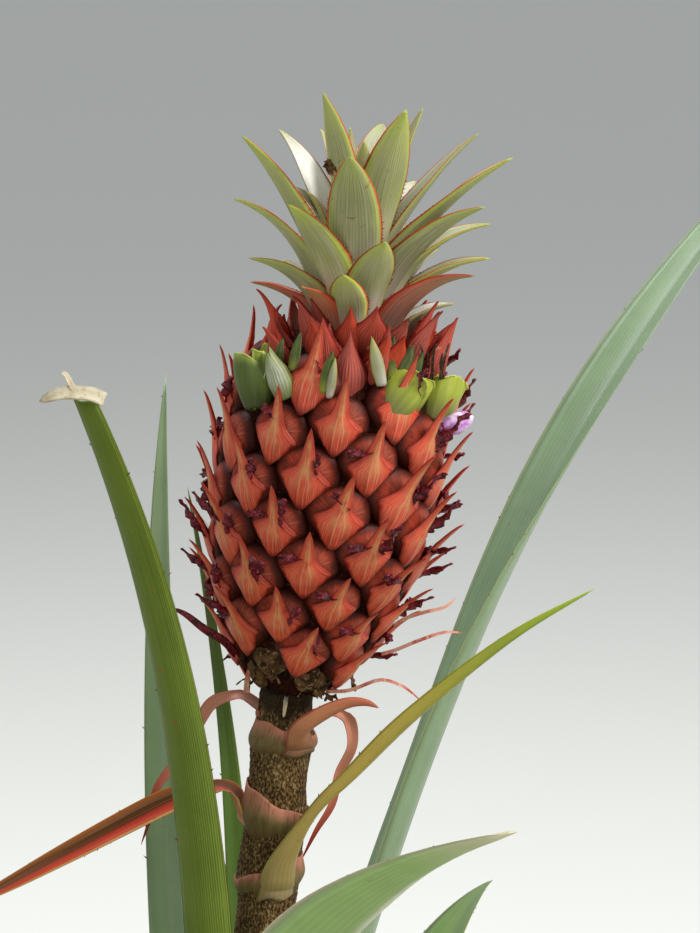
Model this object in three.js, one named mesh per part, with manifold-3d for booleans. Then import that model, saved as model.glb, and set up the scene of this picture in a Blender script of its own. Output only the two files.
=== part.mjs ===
// A pineapple plant in fruit, whole and rooted in level ground. Millimetres, +Z up.
// The origin is the middle of the flat cut under the trunk. The side that is seen first faces -Y.
import * as THREE from 'three';
import { mergeVertices } from 'three/addons/utils/BufferGeometryUtils.js';
import Module from 'manifold-3d';

const wasm = await Module();
wasm.setup();

// Driving dimensions
const GOLDEN_ANGLE = 137.5;
const CLEAR = 0.3;
const CARVE = 0.4;

const TRUNK = {
  height: 262, footRadius: 34, waistRadius: 25, bellyRadius: 28, topRadius: 11.5,
  waistAt: 42, bellyAt: 140, shoulderPower: 1.8, lean: 7.5, leanPower: 3.5, sides: 18, rings: 12,
};

const PEDUNCLE = {
  top: 456, radius: 10, neckRadius: 8.6, lean: 5.7, collarProud: 1.1, collarSpread: 4,
  collars: [392, 414, 438], footBlend: 60, neckFrom: 22, neckTo: 6, sides: 14, rings: 24,
};

const FRUIT = {
  height: 118, lean: 10.5, belly: 36, bellyAt: 72, below: 80, above: 54,
  footPower: 0.68, shoulderPower: 0.55, coreSunk: 3, coreFoot: 8, coreRings: 8, coreSides: 18,
  eyes: 79, firstEyeAt: 2.2, eyeStep: 1.42, firstAzimuth: 78.8, divergence: 137.565,
};

// One eye of the fruit: radius, height and stand-off of its rings, then of its beak.
// Radius and height are shares of the eye's size, the stand-off of a ring is in millimetres.
const EYE = {
  sides: 6, rings: [[0.5, 0, -5], [0.45, 0, -1.6], [0.26, -0.1, 1.4]], beak: [0.74, 0.32],
};

const CROWN = {
  leaves: 50, scales: 14, lean: 4.6, axisHeight: 37, shoulderRadius: 19, axisPower: 0.8,
  scaleDrop: 14, scaleSunk: 3, footDepth: 0.7, footPower: 1.25, axisRings: 5, axisSides: 16,
  firstAzimuth: -3.7, divergence: 137.44,
  tipReach: [33, 36, 47, 43, 12], tipHeight: [10, 19, 42, 68, 84], width: [10, 12, 14.5, 15.5, 8],
  kneeReach: 0.3, kneeHeight: 0.75, kneeOut: 2, cup: 0.35, thick: [1.1, 0.7],
  rings: [[0, 0.85], [0.42, 1], [0.76, 0.72]],
};

const ROSETTE = {
  leaves: 34, firstAzimuth: -47, lowest: 26, highest: 244, stations: 12,
  riseOutside: 75, riseInside: 5, risePower: 2.5, bendOutside: 28, bendInside: 40,
  lengthOutside: 370, lengthMiddle: 570, lengthInside: 400, longestAt: [0.12, 0.8],
  width: 41, endWidth: 0.8, slenderness: 95, neck: 0.55, trough: 0.24,
};

// Every blade: how soon it is full wide, how its point closes, how it thins, how far its rims rise
const BLADE = {
  shoulder: 0.2, pointPower: 2.6, pointRound: 0.85, cutPower: 3, thinning: 0.65,
  footTrough: 0.1, troughAt: 0.3, rimLift: 0.25,
};

// The leaves of the rosette that the view from -Y tells apart, by their turn in the spiral
const NAMED_LEAVES = {
  22: { azimuth: 90, length: 330 },
  26: { azimuth: -89.5, rise: 25.4, bend: 41.4, sweep: 34.8, length: 394, width: 34 },
  27: { azimuth: 60.6, rise: 26, bend: 28.5, sweep: -23.5, length: 540, width: 33 },
  29: { rise: 42, bend: 50 },
  30: { azimuth: 120.8, rise: 10.4, bend: 6.8, sweep: -40.8, length: 334, width: 15 },
  31: { azimuth: -95.2, rise: 2, bend: 26.3, sweep: -36.5, length: 352.4, width: 18, cutWidth: 10.4 },
  32: { rise: 5, bend: 12, length: 120, width: 18 },
  33: { azimuth: 75.7, rise: 6.4, bend: 4, sweep: 83.7, length: 275, width: 11 },
};

// Leaves of the peduncle: the height and side of the seat, then the way that each one takes
const STALK_BLADE = { stout: 6, thick: [1.1, 1.6], seatDepth: 0.35, turnBy: 0.35, neck: 0.9, trough: 0.2 };
const STALK_LEAVES = {
  long_right: {
    z: 390, seat: -72, width: 8, faces: [-0.4, 0.85, 0.35],
    way: [[26, -13.5, 401], [36, -16, 418], [48.5, -18, 431], [69, -20, 452], [100, -22, 478], [127.5, -22, 495]],
  },
  red_left: {
    z: 414, seat: 176, width: 10, faces: [0, -0.75, 0.65],
    way: [[8.8, 1, 422], [4.8, 1.5, 424.4], [-1, 2, 423], [-14, 3, 416.7], [-46.5, 4, 398], [-71, 5, 384.6],
      [-91.5, 5, 375]],
  },
  clasp_right: {
    z: 438, seat: -50, width: 8, faces: [-0.3, 0.75, 0.6],
    way: [[32, -13.5, 444.5], [39.5, -13, 450], [46.8, -12, 453.2], [52.7, -11, 453.6], [57.4, -10, 452]],
  },
  pink_left: {
    z: 449, seat: 165, width: 4.4, faces: [-0.3, -0.9, 0.3],
    way: [[10.2, 4, 453], [2, 6, 450], [-2.7, 7, 442.7], [-10.3, 8, 429.3], [-17.6, 11, 418.5], [-20, 12, 408],
      [-23.5, 12, 398]],
  },
  pink_right: {
    z: 446, seat: 25, width: 4.4, faces: [0.5, -0.85, 0.1],
    way: [[41, 5, 447], [45.4, 6, 445.8], [47.8, 7, 442.7], [48, 8, 433.8], [43.7, 10, 424], [41.3, 12, 412.6],
      [36, 13, 403], [31, 14, 392]],
  },
};

// Broken side shoots on the shoulder of the fruit: along is the height on the fruit's own axis,
// out is how far each one leans off the fruit, from 0 along it to 1 straight out
const SLIP = { sides: 8, root: -5, rootWidth: 0.7, neckAt: 3, neckWidth: 0.85, widestAt: 0.6 };
const SLIPS = {
  left: { along: 102, azimuth: -43, out: 0.4, length: 17, radius: 9, flat: 0.9, tipRadius: 7.5 },
  right: { along: 104, azimuth: 33, out: 0.4, length: 16, radius: 7.5, flat: 0.5, tipRadius: 5.5 },
  far_right: { along: 106, azimuth: 72, out: 0.45, length: 14, radius: 5.5, flat: 0.8, tipRadius: 5 },
};

// Small maths
const rad = THREE.MathUtils.degToRad;
const lerp = THREE.MathUtils.lerp;
const smooth = THREE.MathUtils.smoothstep;
const vec = (x, y, z) => new THREE.Vector3(x, y, z);

function throughKnots(values, u) {
  const knots = values.map((value) => vec(value, 0, 0));
  return new THREE.CatmullRomCurve3(knots).getPoint(THREE.MathUtils.clamp(u, 0, 1)).x;
}

// A closed skin over rings of equal count, each counter-clockwise seen from the far end
function loft(rings, tip = null) {
  const count = rings[0].length;
  const points = rings.flat();
  const faces = [];
  for (let k = 0; k + 1 < rings.length; k += 1) {
    for (let i = 0; i < count; i += 1) {
      const a = k * count + i;
      const b = k * count + ((i + 1) % count);
      faces.push(a, b, b + count, a, b + count, a + count);
    }
  }
  const last = (rings.length - 1) * count;
  for (let i = 2; i < count; i += 1) {
    const next = (i + 1) % count;
    faces.push(1, next, i);
    if (!tip) faces.push(last + 1, last + i, last + next);
  }
  if (tip) {
    points.push(tip);
    for (let i = 0; i < count; i += 1) faces.push(last + i, last + ((i + 1) % count), points.length - 1);
  }
  const geometry = new THREE.BufferGeometry().setFromPoints(points);
  geometry.setIndex(faces);
  return geometry;
}

// Solids and booleans
function solid(geometry) {
  const bare = geometry.clone();
  bare.deleteAttribute('normal');
  bare.deleteAttribute('uv');
  const merged = mergeVertices(bare, 1e-4);
  const vertProperties = merged.attributes.position.array;
  const triVerts = new Uint32Array(merged.index.array);
  return new wasm.Manifold(new wasm.Mesh({ numProp: 3, vertProperties, triVerts }));
}

function geometryOf(manifold) {
  const mesh = manifold.getMesh();
  const geometry = new THREE.BufferGeometry();
  geometry.setAttribute('position', new THREE.BufferAttribute(mesh.vertProperties, 3));
  geometry.setIndex(new THREE.BufferAttribute(mesh.triVerts, 1));
  return geometry;
}

function largestPiece(manifold) {
  const pieces = manifold.decompose();
  return pieces.reduce((best, piece) => (piece.volume() > best.volume() ? piece : best));
}

const fuse = (solids) => wasm.Manifold.union(solids);

// Stem: trunk and peduncle are upright limbs of level rings
function trunkRadius(z) {
  const { footRadius, waistRadius, bellyRadius, topRadius, waistAt, bellyAt, height, shoulderPower } = TRUNK;
  if (z < waistAt) return lerp(footRadius, waistRadius, Math.sin((z / waistAt) * Math.PI / 2));
  if (z < bellyAt) return lerp(waistRadius, bellyRadius, smooth(z, waistAt, bellyAt));
  return lerp(bellyRadius, topRadius, ((z - bellyAt) / (height - bellyAt)) ** shoulderPower);
}

const trunkX = (z) => TRUNK.lean * (z / TRUNK.height) ** TRUNK.leanPower;

const peduncleX = (z) => TRUNK.lean + (z - TRUNK.height) * Math.tan(rad(PEDUNCLE.lean));

function peduncleRadius(z) {
  const { collars, collarProud, collarSpread, top, radius, neckRadius, footBlend, neckFrom, neckTo } = PEDUNCLE;
  const collar = collars.reduce((sum, at) => sum + Math.exp(-(((z - at) / collarSpread) ** 2)), 0);
  const foot = lerp(TRUNK.topRadius, radius, smooth(z, TRUNK.height, TRUNK.height + footBlend));
  return lerp(foot, neckRadius, smooth(z, top - neckFrom, top - neckTo)) + collar * collarProud;
}

function limb(from, to, rings, sides, xAt, radiusAt) {
  const levels = Array.from({ length: rings }, (_, k) => lerp(from, to, k / (rings - 1)));
  return loft(levels.map((z) => Array.from({ length: sides }, (_, i) => {
    const turn = (i / sides) * 2 * Math.PI;
    return vec(xAt(z) + radiusAt(z) * Math.cos(turn), radiusAt(z) * Math.sin(turn), z);
  })));
}

function peduncleSkin(grow = 0) {
  const { top, rings, sides } = PEDUNCLE;
  const radiusAt = (z) => peduncleRadius(Math.min(z, top)) + grow;
  return limb(TRUNK.height + CLEAR, top + grow, rings, sides, peduncleX, radiusAt);
}

// Blades: four-sided sections from a neck to a point, or to a cut end
const bladeShoulder = (t, neck) => lerp(neck, 1, smooth(t, 0, BLADE.shoulder));
const bladePoint = (t) => (1 - t ** BLADE.pointPower) ** BLADE.pointRound;

function bladeSkin({ frames, width, neck, thick, trough, cutWidth = 0, grow = 0 }) {
  const last = frames.length - 1;
  const rings = frames.slice(0, cutWidth ? last + 1 : last).map(({ centre, side, upper }, k) => {
    const t = k / last;
    const full = cutWidth ? lerp(width, cutWidth, t ** BLADE.cutPower) : width * bladePoint(t);
    const spread = full * bladeShoulder(t, neck);
    const body = thick * (1 - BLADE.thinning * t * t);
    const dip = lerp(BLADE.footTrough, trough, smooth(t, 0, BLADE.troughAt));
    const rim = dip * spread + body * BLADE.rimLift;
    const at = (across, above) => centre.clone().addScaledVector(side, across).addScaledVector(upper, above);
    const half = spread / 2 + grow;
    return [at(-half, rim), at(0, -body / 2 - grow), at(half, rim), at(0, body / 2 + grow)];
  });
  return loft(rings, cutWidth ? null : frames[last].centre);
}

// A point just off a stem's skin; azimuth is measured from +X towards +Y
function seatOnStem(z, azimuth, off, xAt, radiusAt) {
  const out = radiusAt(z) + CLEAR + off;
  return vec(xAt(z) + out * Math.cos(rad(azimuth)), out * Math.sin(rad(azimuth)), z);
}

// A spine that leaves its seat at rise degrees from upright and bends and sweeps on its way
function archFrames({ seat, azimuth, rise, bend, length, stations, bendPower = 1.5, sweep = 0 }) {
  const centre = seat.clone();
  return Array.from({ length: stations + 1 }, (_, k) => {
    const heading = (t) => [rad(rise + bend * t ** bendPower), rad(azimuth + sweep * t)];
    const [lift, turn] = heading(k / stations);
    const frame = {
      centre: centre.clone(),
      side: vec(-Math.sin(turn), Math.cos(turn), 0),
      upper: vec(-Math.cos(lift) * Math.cos(turn), -Math.cos(lift) * Math.sin(turn), Math.sin(lift)),
    };
    const [tilt, course] = heading((k + 0.5) / stations);
    centre.add(vec(Math.sin(tilt) * Math.cos(course), Math.sin(tilt) * Math.sin(course), Math.cos(tilt))
      .multiplyScalar(length / stations));
    return frame;
  });
}

function rosetteLeaf(turn) {
  const u = turn / (ROSETTE.leaves - 1);
  const [early, late] = ROSETTE.longestAt;
  const hump = Math.sin(Math.PI * (early + late * u));
  const leaf = {
    azimuth: ROSETTE.firstAzimuth + GOLDEN_ANGLE * turn,
    rise: lerp(ROSETTE.riseInside, ROSETTE.riseOutside, 1 - u ** ROSETTE.risePower),
    bend: lerp(ROSETTE.bendOutside, ROSETTE.bendInside, u),
    length: lerp(lerp(ROSETTE.lengthOutside, ROSETTE.lengthInside, u), ROSETTE.lengthMiddle, hump),
    width: ROSETTE.width * lerp(ROSETTE.endWidth, 1, hump),
    ...NAMED_LEAVES[turn],
  };
  const thick = leaf.length / ROSETTE.slenderness;
  const off = (thick / 2) * Math.cos(rad(leaf.rise));
  const z = lerp(ROSETTE.lowest, ROSETTE.highest, u);
  const seat = seatOnStem(z, leaf.azimuth, off, trunkX, trunkRadius);
  const frames = archFrames({ ...leaf, seat, stations: ROSETTE.stations });
  return bladeSkin({ ...leaf, frames, thick, neck: ROSETTE.neck, trough: ROSETTE.trough });
}

function stalkLeaf({ z, seat, width, faces, way }, grow = 0) {
  const { stout, seatDepth, turnBy, neck, trough } = STALK_BLADE;
  const thick = STALK_BLADE.thick[width > stout ? 1 : 0];
  const start = seatOnStem(z, seat, thick * seatDepth, peduncleX, peduncleRadius);
  const knots = [start, ...way.map((point) => vec(...point))];
  const route = new THREE.CatmullRomCurve3(knots, false, 'centripetal');
  const stations = way.length * 2;
  const towardsStem = vec(-Math.cos(rad(seat)), -Math.sin(rad(seat)), 0);
  const frames = Array.from({ length: stations + 1 }, (_, k) => {
    const tangent = route.getTangentAt(k / stations);
    const facing = towardsStem.clone().lerp(vec(...faces), smooth(k / stations, 0, turnBy));
    const side = facing.cross(tangent).normalize();
    return { centre: route.getPointAt(k / stations), side, upper: tangent.clone().cross(side) };
  });
  return bladeSkin({ frames, width, thick, neck, trough, grow });
}

// Fruit: a core with a spiral of eyes, each a dome under a beaked bract
const upFruit = new THREE.Matrix4().makeRotationY(rad(FRUIT.lean))
  .setPosition(peduncleX(PEDUNCLE.top), 0, PEDUNCLE.top + CLEAR);

function fruitRadius(along) {
  const { belly, bellyAt, below, above, footPower, shoulderPower } = FRUIT;
  if (along < bellyAt) return belly * (1 - ((bellyAt - along) / below) ** 2) ** footPower;
  return belly * (1 - ((along - bellyAt) / above) ** 4) ** shoulderPower;
}

function fruitCore() {
  const { height, coreSunk, coreFoot, coreRings, coreSides } = FRUIT;
  const levels = Array.from({ length: coreRings + 1 }, (_, k) => (k / coreRings) * height);
  const coreRadius = (along) => Math.max(fruitRadius(along) - coreSunk, coreFoot);
  const wall = levels.map((along) => new THREE.Vector2(coreRadius(along), along));
  const profile = [new THREE.Vector2(0, 0), ...wall, new THREE.Vector2(0, height)];
  return solid(new THREE.LatheGeometry(profile, coreSides).rotateX(Math.PI / 2));
}

// The place, side, up and outward directions on the fruit's skin; azimuth runs from -Y towards +X
function onFruit(along, azimuth) {
  const turn = rad(azimuth);
  const slope = fruitRadius(along + 0.5) - fruitRadius(along - 0.5);
  const out = vec(Math.sin(turn), -Math.cos(turn), 0);
  const side = vec(Math.cos(turn), Math.sin(turn), 0);
  const up = out.clone().multiplyScalar(slope).add(vec(0, 0, 1)).normalize();
  const centre = out.clone().multiplyScalar(fruitRadius(along)).add(vec(0, 0, along));
  return { centre, side, up, proud: side.clone().cross(up), slope };
}

function fruitEye(turn) {
  const along = FRUIT.firstEyeAt + FRUIT.eyeStep * turn;
  const { centre, side, up, proud, slope } = onFruit(along, FRUIT.firstAzimuth - FRUIT.divergence * turn);
  const size = Math.sqrt(2 * Math.PI * fruitRadius(along) * FRUIT.eyeStep * Math.hypot(1, slope));
  const at = (across, above, out) => centre.clone().addScaledVector(side, across * size)
    .addScaledVector(up, above * size).addScaledVector(proud, out);
  const ring = ([radius, above, out]) => Array.from({ length: EYE.sides }, (_, i) => {
    const corner = ((i + 0.5) / EYE.sides) * 2 * Math.PI;
    return at(radius * Math.cos(corner), above + radius * Math.sin(corner), out);
  });
  const [reach, lift] = EYE.beak;
  return solid(loft(EYE.rings.map(ring), at(0, reach, lift * size)));
}

// Crown: leaves that carry the fruit's spiral on, the first ones scales on its shoulder
const crownSeat = vec(0, 0, FRUIT.height + CLEAR).applyMatrix4(upFruit);
const upCrown = new THREE.Matrix4().makeRotationY(rad(CROWN.lean)).setPosition(crownSeat);

function crownAxisRadius(height) {
  const { shoulderRadius, axisHeight, axisPower } = CROWN;
  return shoulderRadius * (1.1 - height / axisHeight) ** axisPower;
}

function crownLeafFoot(turn) {
  const { scales, scaleDrop, scaleSunk, leaves, axisHeight, footDepth, footPower } = CROWN;
  if (turn < scales) {
    const drop = scaleDrop * (1 - turn / scales);
    return vec(fruitRadius(FRUIT.height - drop) - scaleSunk, -drop, 0);
  }
  const height = axisHeight * ((turn - scales) / (leaves - scales)) ** footPower;
  return vec(crownAxisRadius(height) * footDepth, height, 0);
}

function crownLeaf(turn, grow = 0) {
  const u = turn / (CROWN.leaves - 1);
  const azimuth = rad(CROWN.firstAzimuth - CROWN.divergence * turn);
  const foot = crownLeafFoot(turn);
  const tip = vec(throughKnots(CROWN.tipReach, u), throughKnots(CROWN.tipHeight, u), 0);
  const { kneeReach, kneeHeight, kneeOut, cup, thick: [footThick, tipThick] } = CROWN;
  const knee = vec(lerp(foot.x, tip.x, kneeReach) + kneeOut, lerp(foot.y, tip.y, kneeHeight), 0);
  const spine = new THREE.QuadraticBezierCurve3(foot, knee, tip);
  const width = throughKnots(CROWN.width, u);
  const place = (reach, across, above) => vec(
    reach * Math.sin(azimuth) + across * Math.cos(azimuth),
    -reach * Math.cos(azimuth) + across * Math.sin(azimuth), above);
  const rings = CROWN.rings.map(([t, fullness]) => {
    const point = spine.getPoint(t);
    const along = spine.getTangent(t);
    const half = (width / 2) * fullness + grow;
    const thick = lerp(footThick, tipThick, t) + grow;
    const at = (across, inward) => place(point.x - along.y * inward, across, point.y + along.x * inward);
    return [at(-half, half * cup), at(0, -thick), at(half, half * cup), at(0, thick)];
  });
  return solid(loft(rings, place(tip.x, 0, tip.y))).transform(upCrown.elements);
}

function crownSolid(grow = 0) {
  const { axisHeight, axisRings, axisSides } = CROWN;
  const levels = Array.from({ length: axisRings + 1 }, (_, k) => (k / axisRings) * axisHeight);
  const wall = levels.map((height) => new THREE.Vector2(crownAxisRadius(height) + grow, height));
  wall[0].y -= grow;
  const profile = [new THREE.Vector2(0, -grow), ...wall, new THREE.Vector2(0, axisHeight + grow)];
  const axis = solid(new THREE.LatheGeometry(profile, axisSides).rotateX(Math.PI / 2));
  const count = CROWN.leaves - CROWN.scales;
  const leaves = Array.from({ length: count }, (_, k) => crownLeaf(CROWN.scales + k, grow));
  return fuse([axis.transform(upCrown.elements), ...leaves]);
}

// Slips: stubs of side shoots, sunk in sockets in the shoulder of the fruit
function slipSolid({ along, azimuth, out, length, radius, flat, tipRadius }, grow = 0) {
  const { centre, side, up, proud } = onFruit(along, azimuth);
  const axis = proud.clone().multiplyScalar(out).addScaledVector(up, 1 - out).normalize();
  const across = axis.clone().cross(side);
  const { sides, root, rootWidth, neckAt, neckWidth, widestAt } = SLIP;
  const shape = [[root - grow, radius * rootWidth], [neckAt, radius * neckWidth],
    [length * widestAt, radius], [length + grow, tipRadius]];
  const rings = shape.map(([reach, wide]) => Array.from({ length: sides }, (_, i) => {
    const turn = (i / sides) * 2 * Math.PI;
    return centre.clone().addScaledVector(axis, reach)
      .addScaledVector(side, (wide + grow) * Math.cos(turn))
      .addScaledVector(across, (wide * flat + grow) * Math.sin(turn));
  }));
  return solid(loft(rings)).transform(upFruit.elements);
}

function carve(body, tools) {
  return largestPiece(tools.reduce((rest, tool) => rest.subtract(tool), body));
}

// Assembly
const finish = (color, roughness) => new THREE.MeshStandardMaterial({ color, roughness, metalness: 0 });
const FINISHES = {
  trunk: finish(0x6b5a41, 0.85),
  peduncle: finish(0x6d5a48, 0.8),
  leaf: finish(0x4f7a2c, 0.45),
  stalkLeaf: finish(0xc7644c, 0.55),
  fruit: finish(0xb8402f, 0.5),
  crown: finish(0x7f8c68, 0.6),
  slip: finish(0xa6b053, 0.55),
};

const plant = new THREE.Group();

function add(name, geometry, material) {
  const mesh = new THREE.Mesh(geometry, material);
  mesh.name = name;
  mesh.geometry.computeVertexNormals();
  plant.add(mesh);
}

add('trunk', limb(0, TRUNK.height, TRUNK.rings, TRUNK.sides, trunkX, trunkRadius), FINISHES.trunk);
add('peduncle', peduncleSkin(), FINISHES.peduncle);

for (let turn = 0; turn < ROSETTE.leaves; turn += 1) {
  add(`leaf_${String(turn + 1).padStart(2, '0')}`, rosetteLeaf(turn), FINISHES.leaf);
}

for (const [name, leaf] of Object.entries(STALK_LEAVES)) {
  add(`stalk_leaf_${name}`, stalkLeaf(leaf), FINISHES.stalkLeaf);
}

const slipTools = Object.values(SLIPS).map((slip) => slipSolid(slip, CARVE));
const strapTools = Object.values(STALK_LEAVES).map((leaf) => solid(stalkLeaf(leaf, CARVE)));
for (const [name, slip] of Object.entries(SLIPS)) {
  add(`slip_${name}`, geometryOf(slipSolid(slip)), FINISHES.slip);
}

const eyes = Array.from({ length: FRUIT.eyes }, (_, turn) => fruitEye(turn));
const scales = Array.from({ length: CROWN.scales }, (_, turn) => crownLeaf(turn));
const fruitBody = fuse([fuse([fruitCore(), ...eyes]).transform(upFruit.elements), ...scales]);
const stalkTool = solid(peduncleSkin(CARVE));
add('crown', geometryOf(carve(crownSolid(), slipTools)), FINISHES.crown);
add('fruit', geometryOf(carve(fruitBody, [stalkTool, crownSolid(CARVE), ...slipTools, ...strapTools])),
  FINISHES.fruit);

export default plant;
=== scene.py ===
"""Looks of a pineapple plant in fruit: trunk, rosette, stalk, fruit, crown and side shoots."""

import logging
import math
from dataclasses import dataclass, field
from enum import Enum
from typing import Any, ClassVar

import bmesh
import bpy
import numpy as np
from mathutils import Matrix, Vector


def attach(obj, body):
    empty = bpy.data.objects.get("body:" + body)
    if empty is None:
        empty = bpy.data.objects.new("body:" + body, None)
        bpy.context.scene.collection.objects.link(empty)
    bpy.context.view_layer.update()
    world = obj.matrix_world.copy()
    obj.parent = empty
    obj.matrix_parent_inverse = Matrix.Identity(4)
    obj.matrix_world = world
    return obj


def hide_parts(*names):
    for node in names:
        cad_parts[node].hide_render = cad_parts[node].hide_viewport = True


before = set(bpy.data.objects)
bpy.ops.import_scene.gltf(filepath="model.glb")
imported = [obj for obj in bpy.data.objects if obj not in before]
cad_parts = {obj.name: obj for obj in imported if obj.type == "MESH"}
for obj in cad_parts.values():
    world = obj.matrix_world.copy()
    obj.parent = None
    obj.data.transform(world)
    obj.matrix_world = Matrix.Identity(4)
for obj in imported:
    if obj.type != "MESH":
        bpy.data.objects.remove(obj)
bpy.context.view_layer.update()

LOG = logging.getLogger("pineapple")
MM = 0.001
BODY = "root"
FLOW = "flow"
GOLDEN_ANGLE = 137.5
CLEAR = 0.3
COAT_ROUGHNESS = 0.2
Array = np.ndarray
Colour = tuple[float, float, float, float]


def rgb(red: int, green: int, blue: int) -> Colour:
    """A display colour as the linear colour that shaders take.

    Args:
        red: Red, from 0 to 255.
        green: Green, from 0 to 255.
        blue: Blue, from 0 to 255.

    Returns:
        The colour with full alpha.
    """
    parts = [value / 255 for value in (red, green, blue)]
    linear = [value / 12.92 if value < 0.04 else ((value + 0.055) / 1.055) ** 2.4 for value in parts]
    return (*linear, 1.0)


def blend(low: Any, high: Any, share: Any) -> Any:
    """The value at a share of the way from low to high."""
    return low + (high - low) * share


def smooth(value: Any, low: float, high: float) -> Any:
    """A smooth step from 0 at low to 1 at high."""
    share = np.clip((value - low) / (high - low), 0, 1)
    return share * share * (3 - 2 * share)


def unit(vectors: Array) -> Array:
    """Vectors of length one."""
    return vectors / np.maximum(np.linalg.norm(vectors, axis=-1, keepdims=True), 1e-9)


def lean(points: Array, degrees: float, seat: Array) -> Array:
    """Points turned about Y, so that +Z leans towards +X, and set down on a seat."""
    angle = math.radians(degrees)
    cos, sin = math.cos(angle), math.sin(angle)
    turn = np.array([[cos, 0, sin], [0, 1, 0], [-sin, 0, cos]])
    return points @ turn.T + seat


def spread(*parts: Any) -> Array:
    """Numbers of shapes that fit each other, side by side on a last axis."""
    return np.stack(np.broadcast_arrays(*parts), axis=-1)


def circle(count: int) -> Array:
    """Even angles once round, without the last one."""
    return np.linspace(0, 2 * np.pi, count, endpoint=False)


def compass(azimuth: float) -> tuple[Array, Array]:
    """The outward and the sideways direction at an azimuth, which runs from -Y towards +X."""
    turn = math.radians(azimuth)
    return np.array([math.sin(turn), -math.cos(turn), 0]), np.array([math.cos(turn), math.sin(turn), 0])


def doubled(top: Array, under: Array) -> Array:
    """Closed sections: the points of one face, then those of the other one, back again without its ends."""
    return np.concatenate([top, under[:, -2:0:-1]], axis=1)


def even_line(knots: Array, count: int) -> Array:
    """A smooth line through knots, at even steps.

    Args:
        knots: Points that the line passes.
        count: Points on the line that comes back.

    Returns:
        The points, first knot and last knot among them.
    """
    ends = [2 * knots[0] - knots[1], *knots, 2 * knots[-1] - knots[-2]]
    dense = []
    for before, start, stop, after in zip(ends, ends[1:], ends[2:], ends[3:]):
        for t in np.linspace(0, 1, 12, endpoint=False):
            dense.append(0.5 * (2 * start + (stop - before) * t
                                + (2 * before - 5 * start + 4 * stop - after) * t * t
                                + (3 * start - before - 3 * stop + after) * t ** 3))
    dense = np.array([*dense, knots[-1]])
    length = np.concatenate([[0], np.cumsum(np.linalg.norm(np.diff(dense, axis=0), axis=1))])
    at = np.linspace(0, length[-1], count)
    return np.stack([np.interp(at, length, dense[:, k]) for k in range(3)], axis=1)


class Value:
    """One output of a node, which takes part in sums as a number or a vector does."""

    def __init__(self, tree: "Tree", socket: bpy.types.NodeSocket) -> None:
        """Keeps the tree and the socket."""
        self.tree = tree
        self.socket = socket

    def other(self, name: str | int) -> "Value":
        """Another output of the same node."""
        return Value(self.tree, self.socket.node.outputs[name])

    def __add__(self, other: Any) -> "Value":
        """The sum."""
        return self.tree.maths("ADD", self, other)

    __radd__ = __add__

    def __sub__(self, other: Any) -> "Value":
        """The difference."""
        return self.tree.maths("SUBTRACT", self, other)

    def __rsub__(self, other: Any) -> "Value":
        """The difference from a number."""
        return self.tree.maths("SUBTRACT", other, self)

    def __mul__(self, other: Any) -> "Value":
        """The product."""
        return self.tree.maths("MULTIPLY", self, other)

    __rmul__ = __mul__

    def __truediv__(self, other: Any) -> "Value":
        """The quotient."""
        return self.tree.maths("DIVIDE", self, other)

    def __pow__(self, other: Any) -> "Value":
        """The power."""
        return self.tree.maths("POWER", self, other)


def is_vector(item: Any) -> bool:
    """Whether an item is a vector or a colour."""
    return isinstance(item, tuple) or isinstance(item, Value) and item.socket.type in ("VECTOR", "RGBA")


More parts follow.
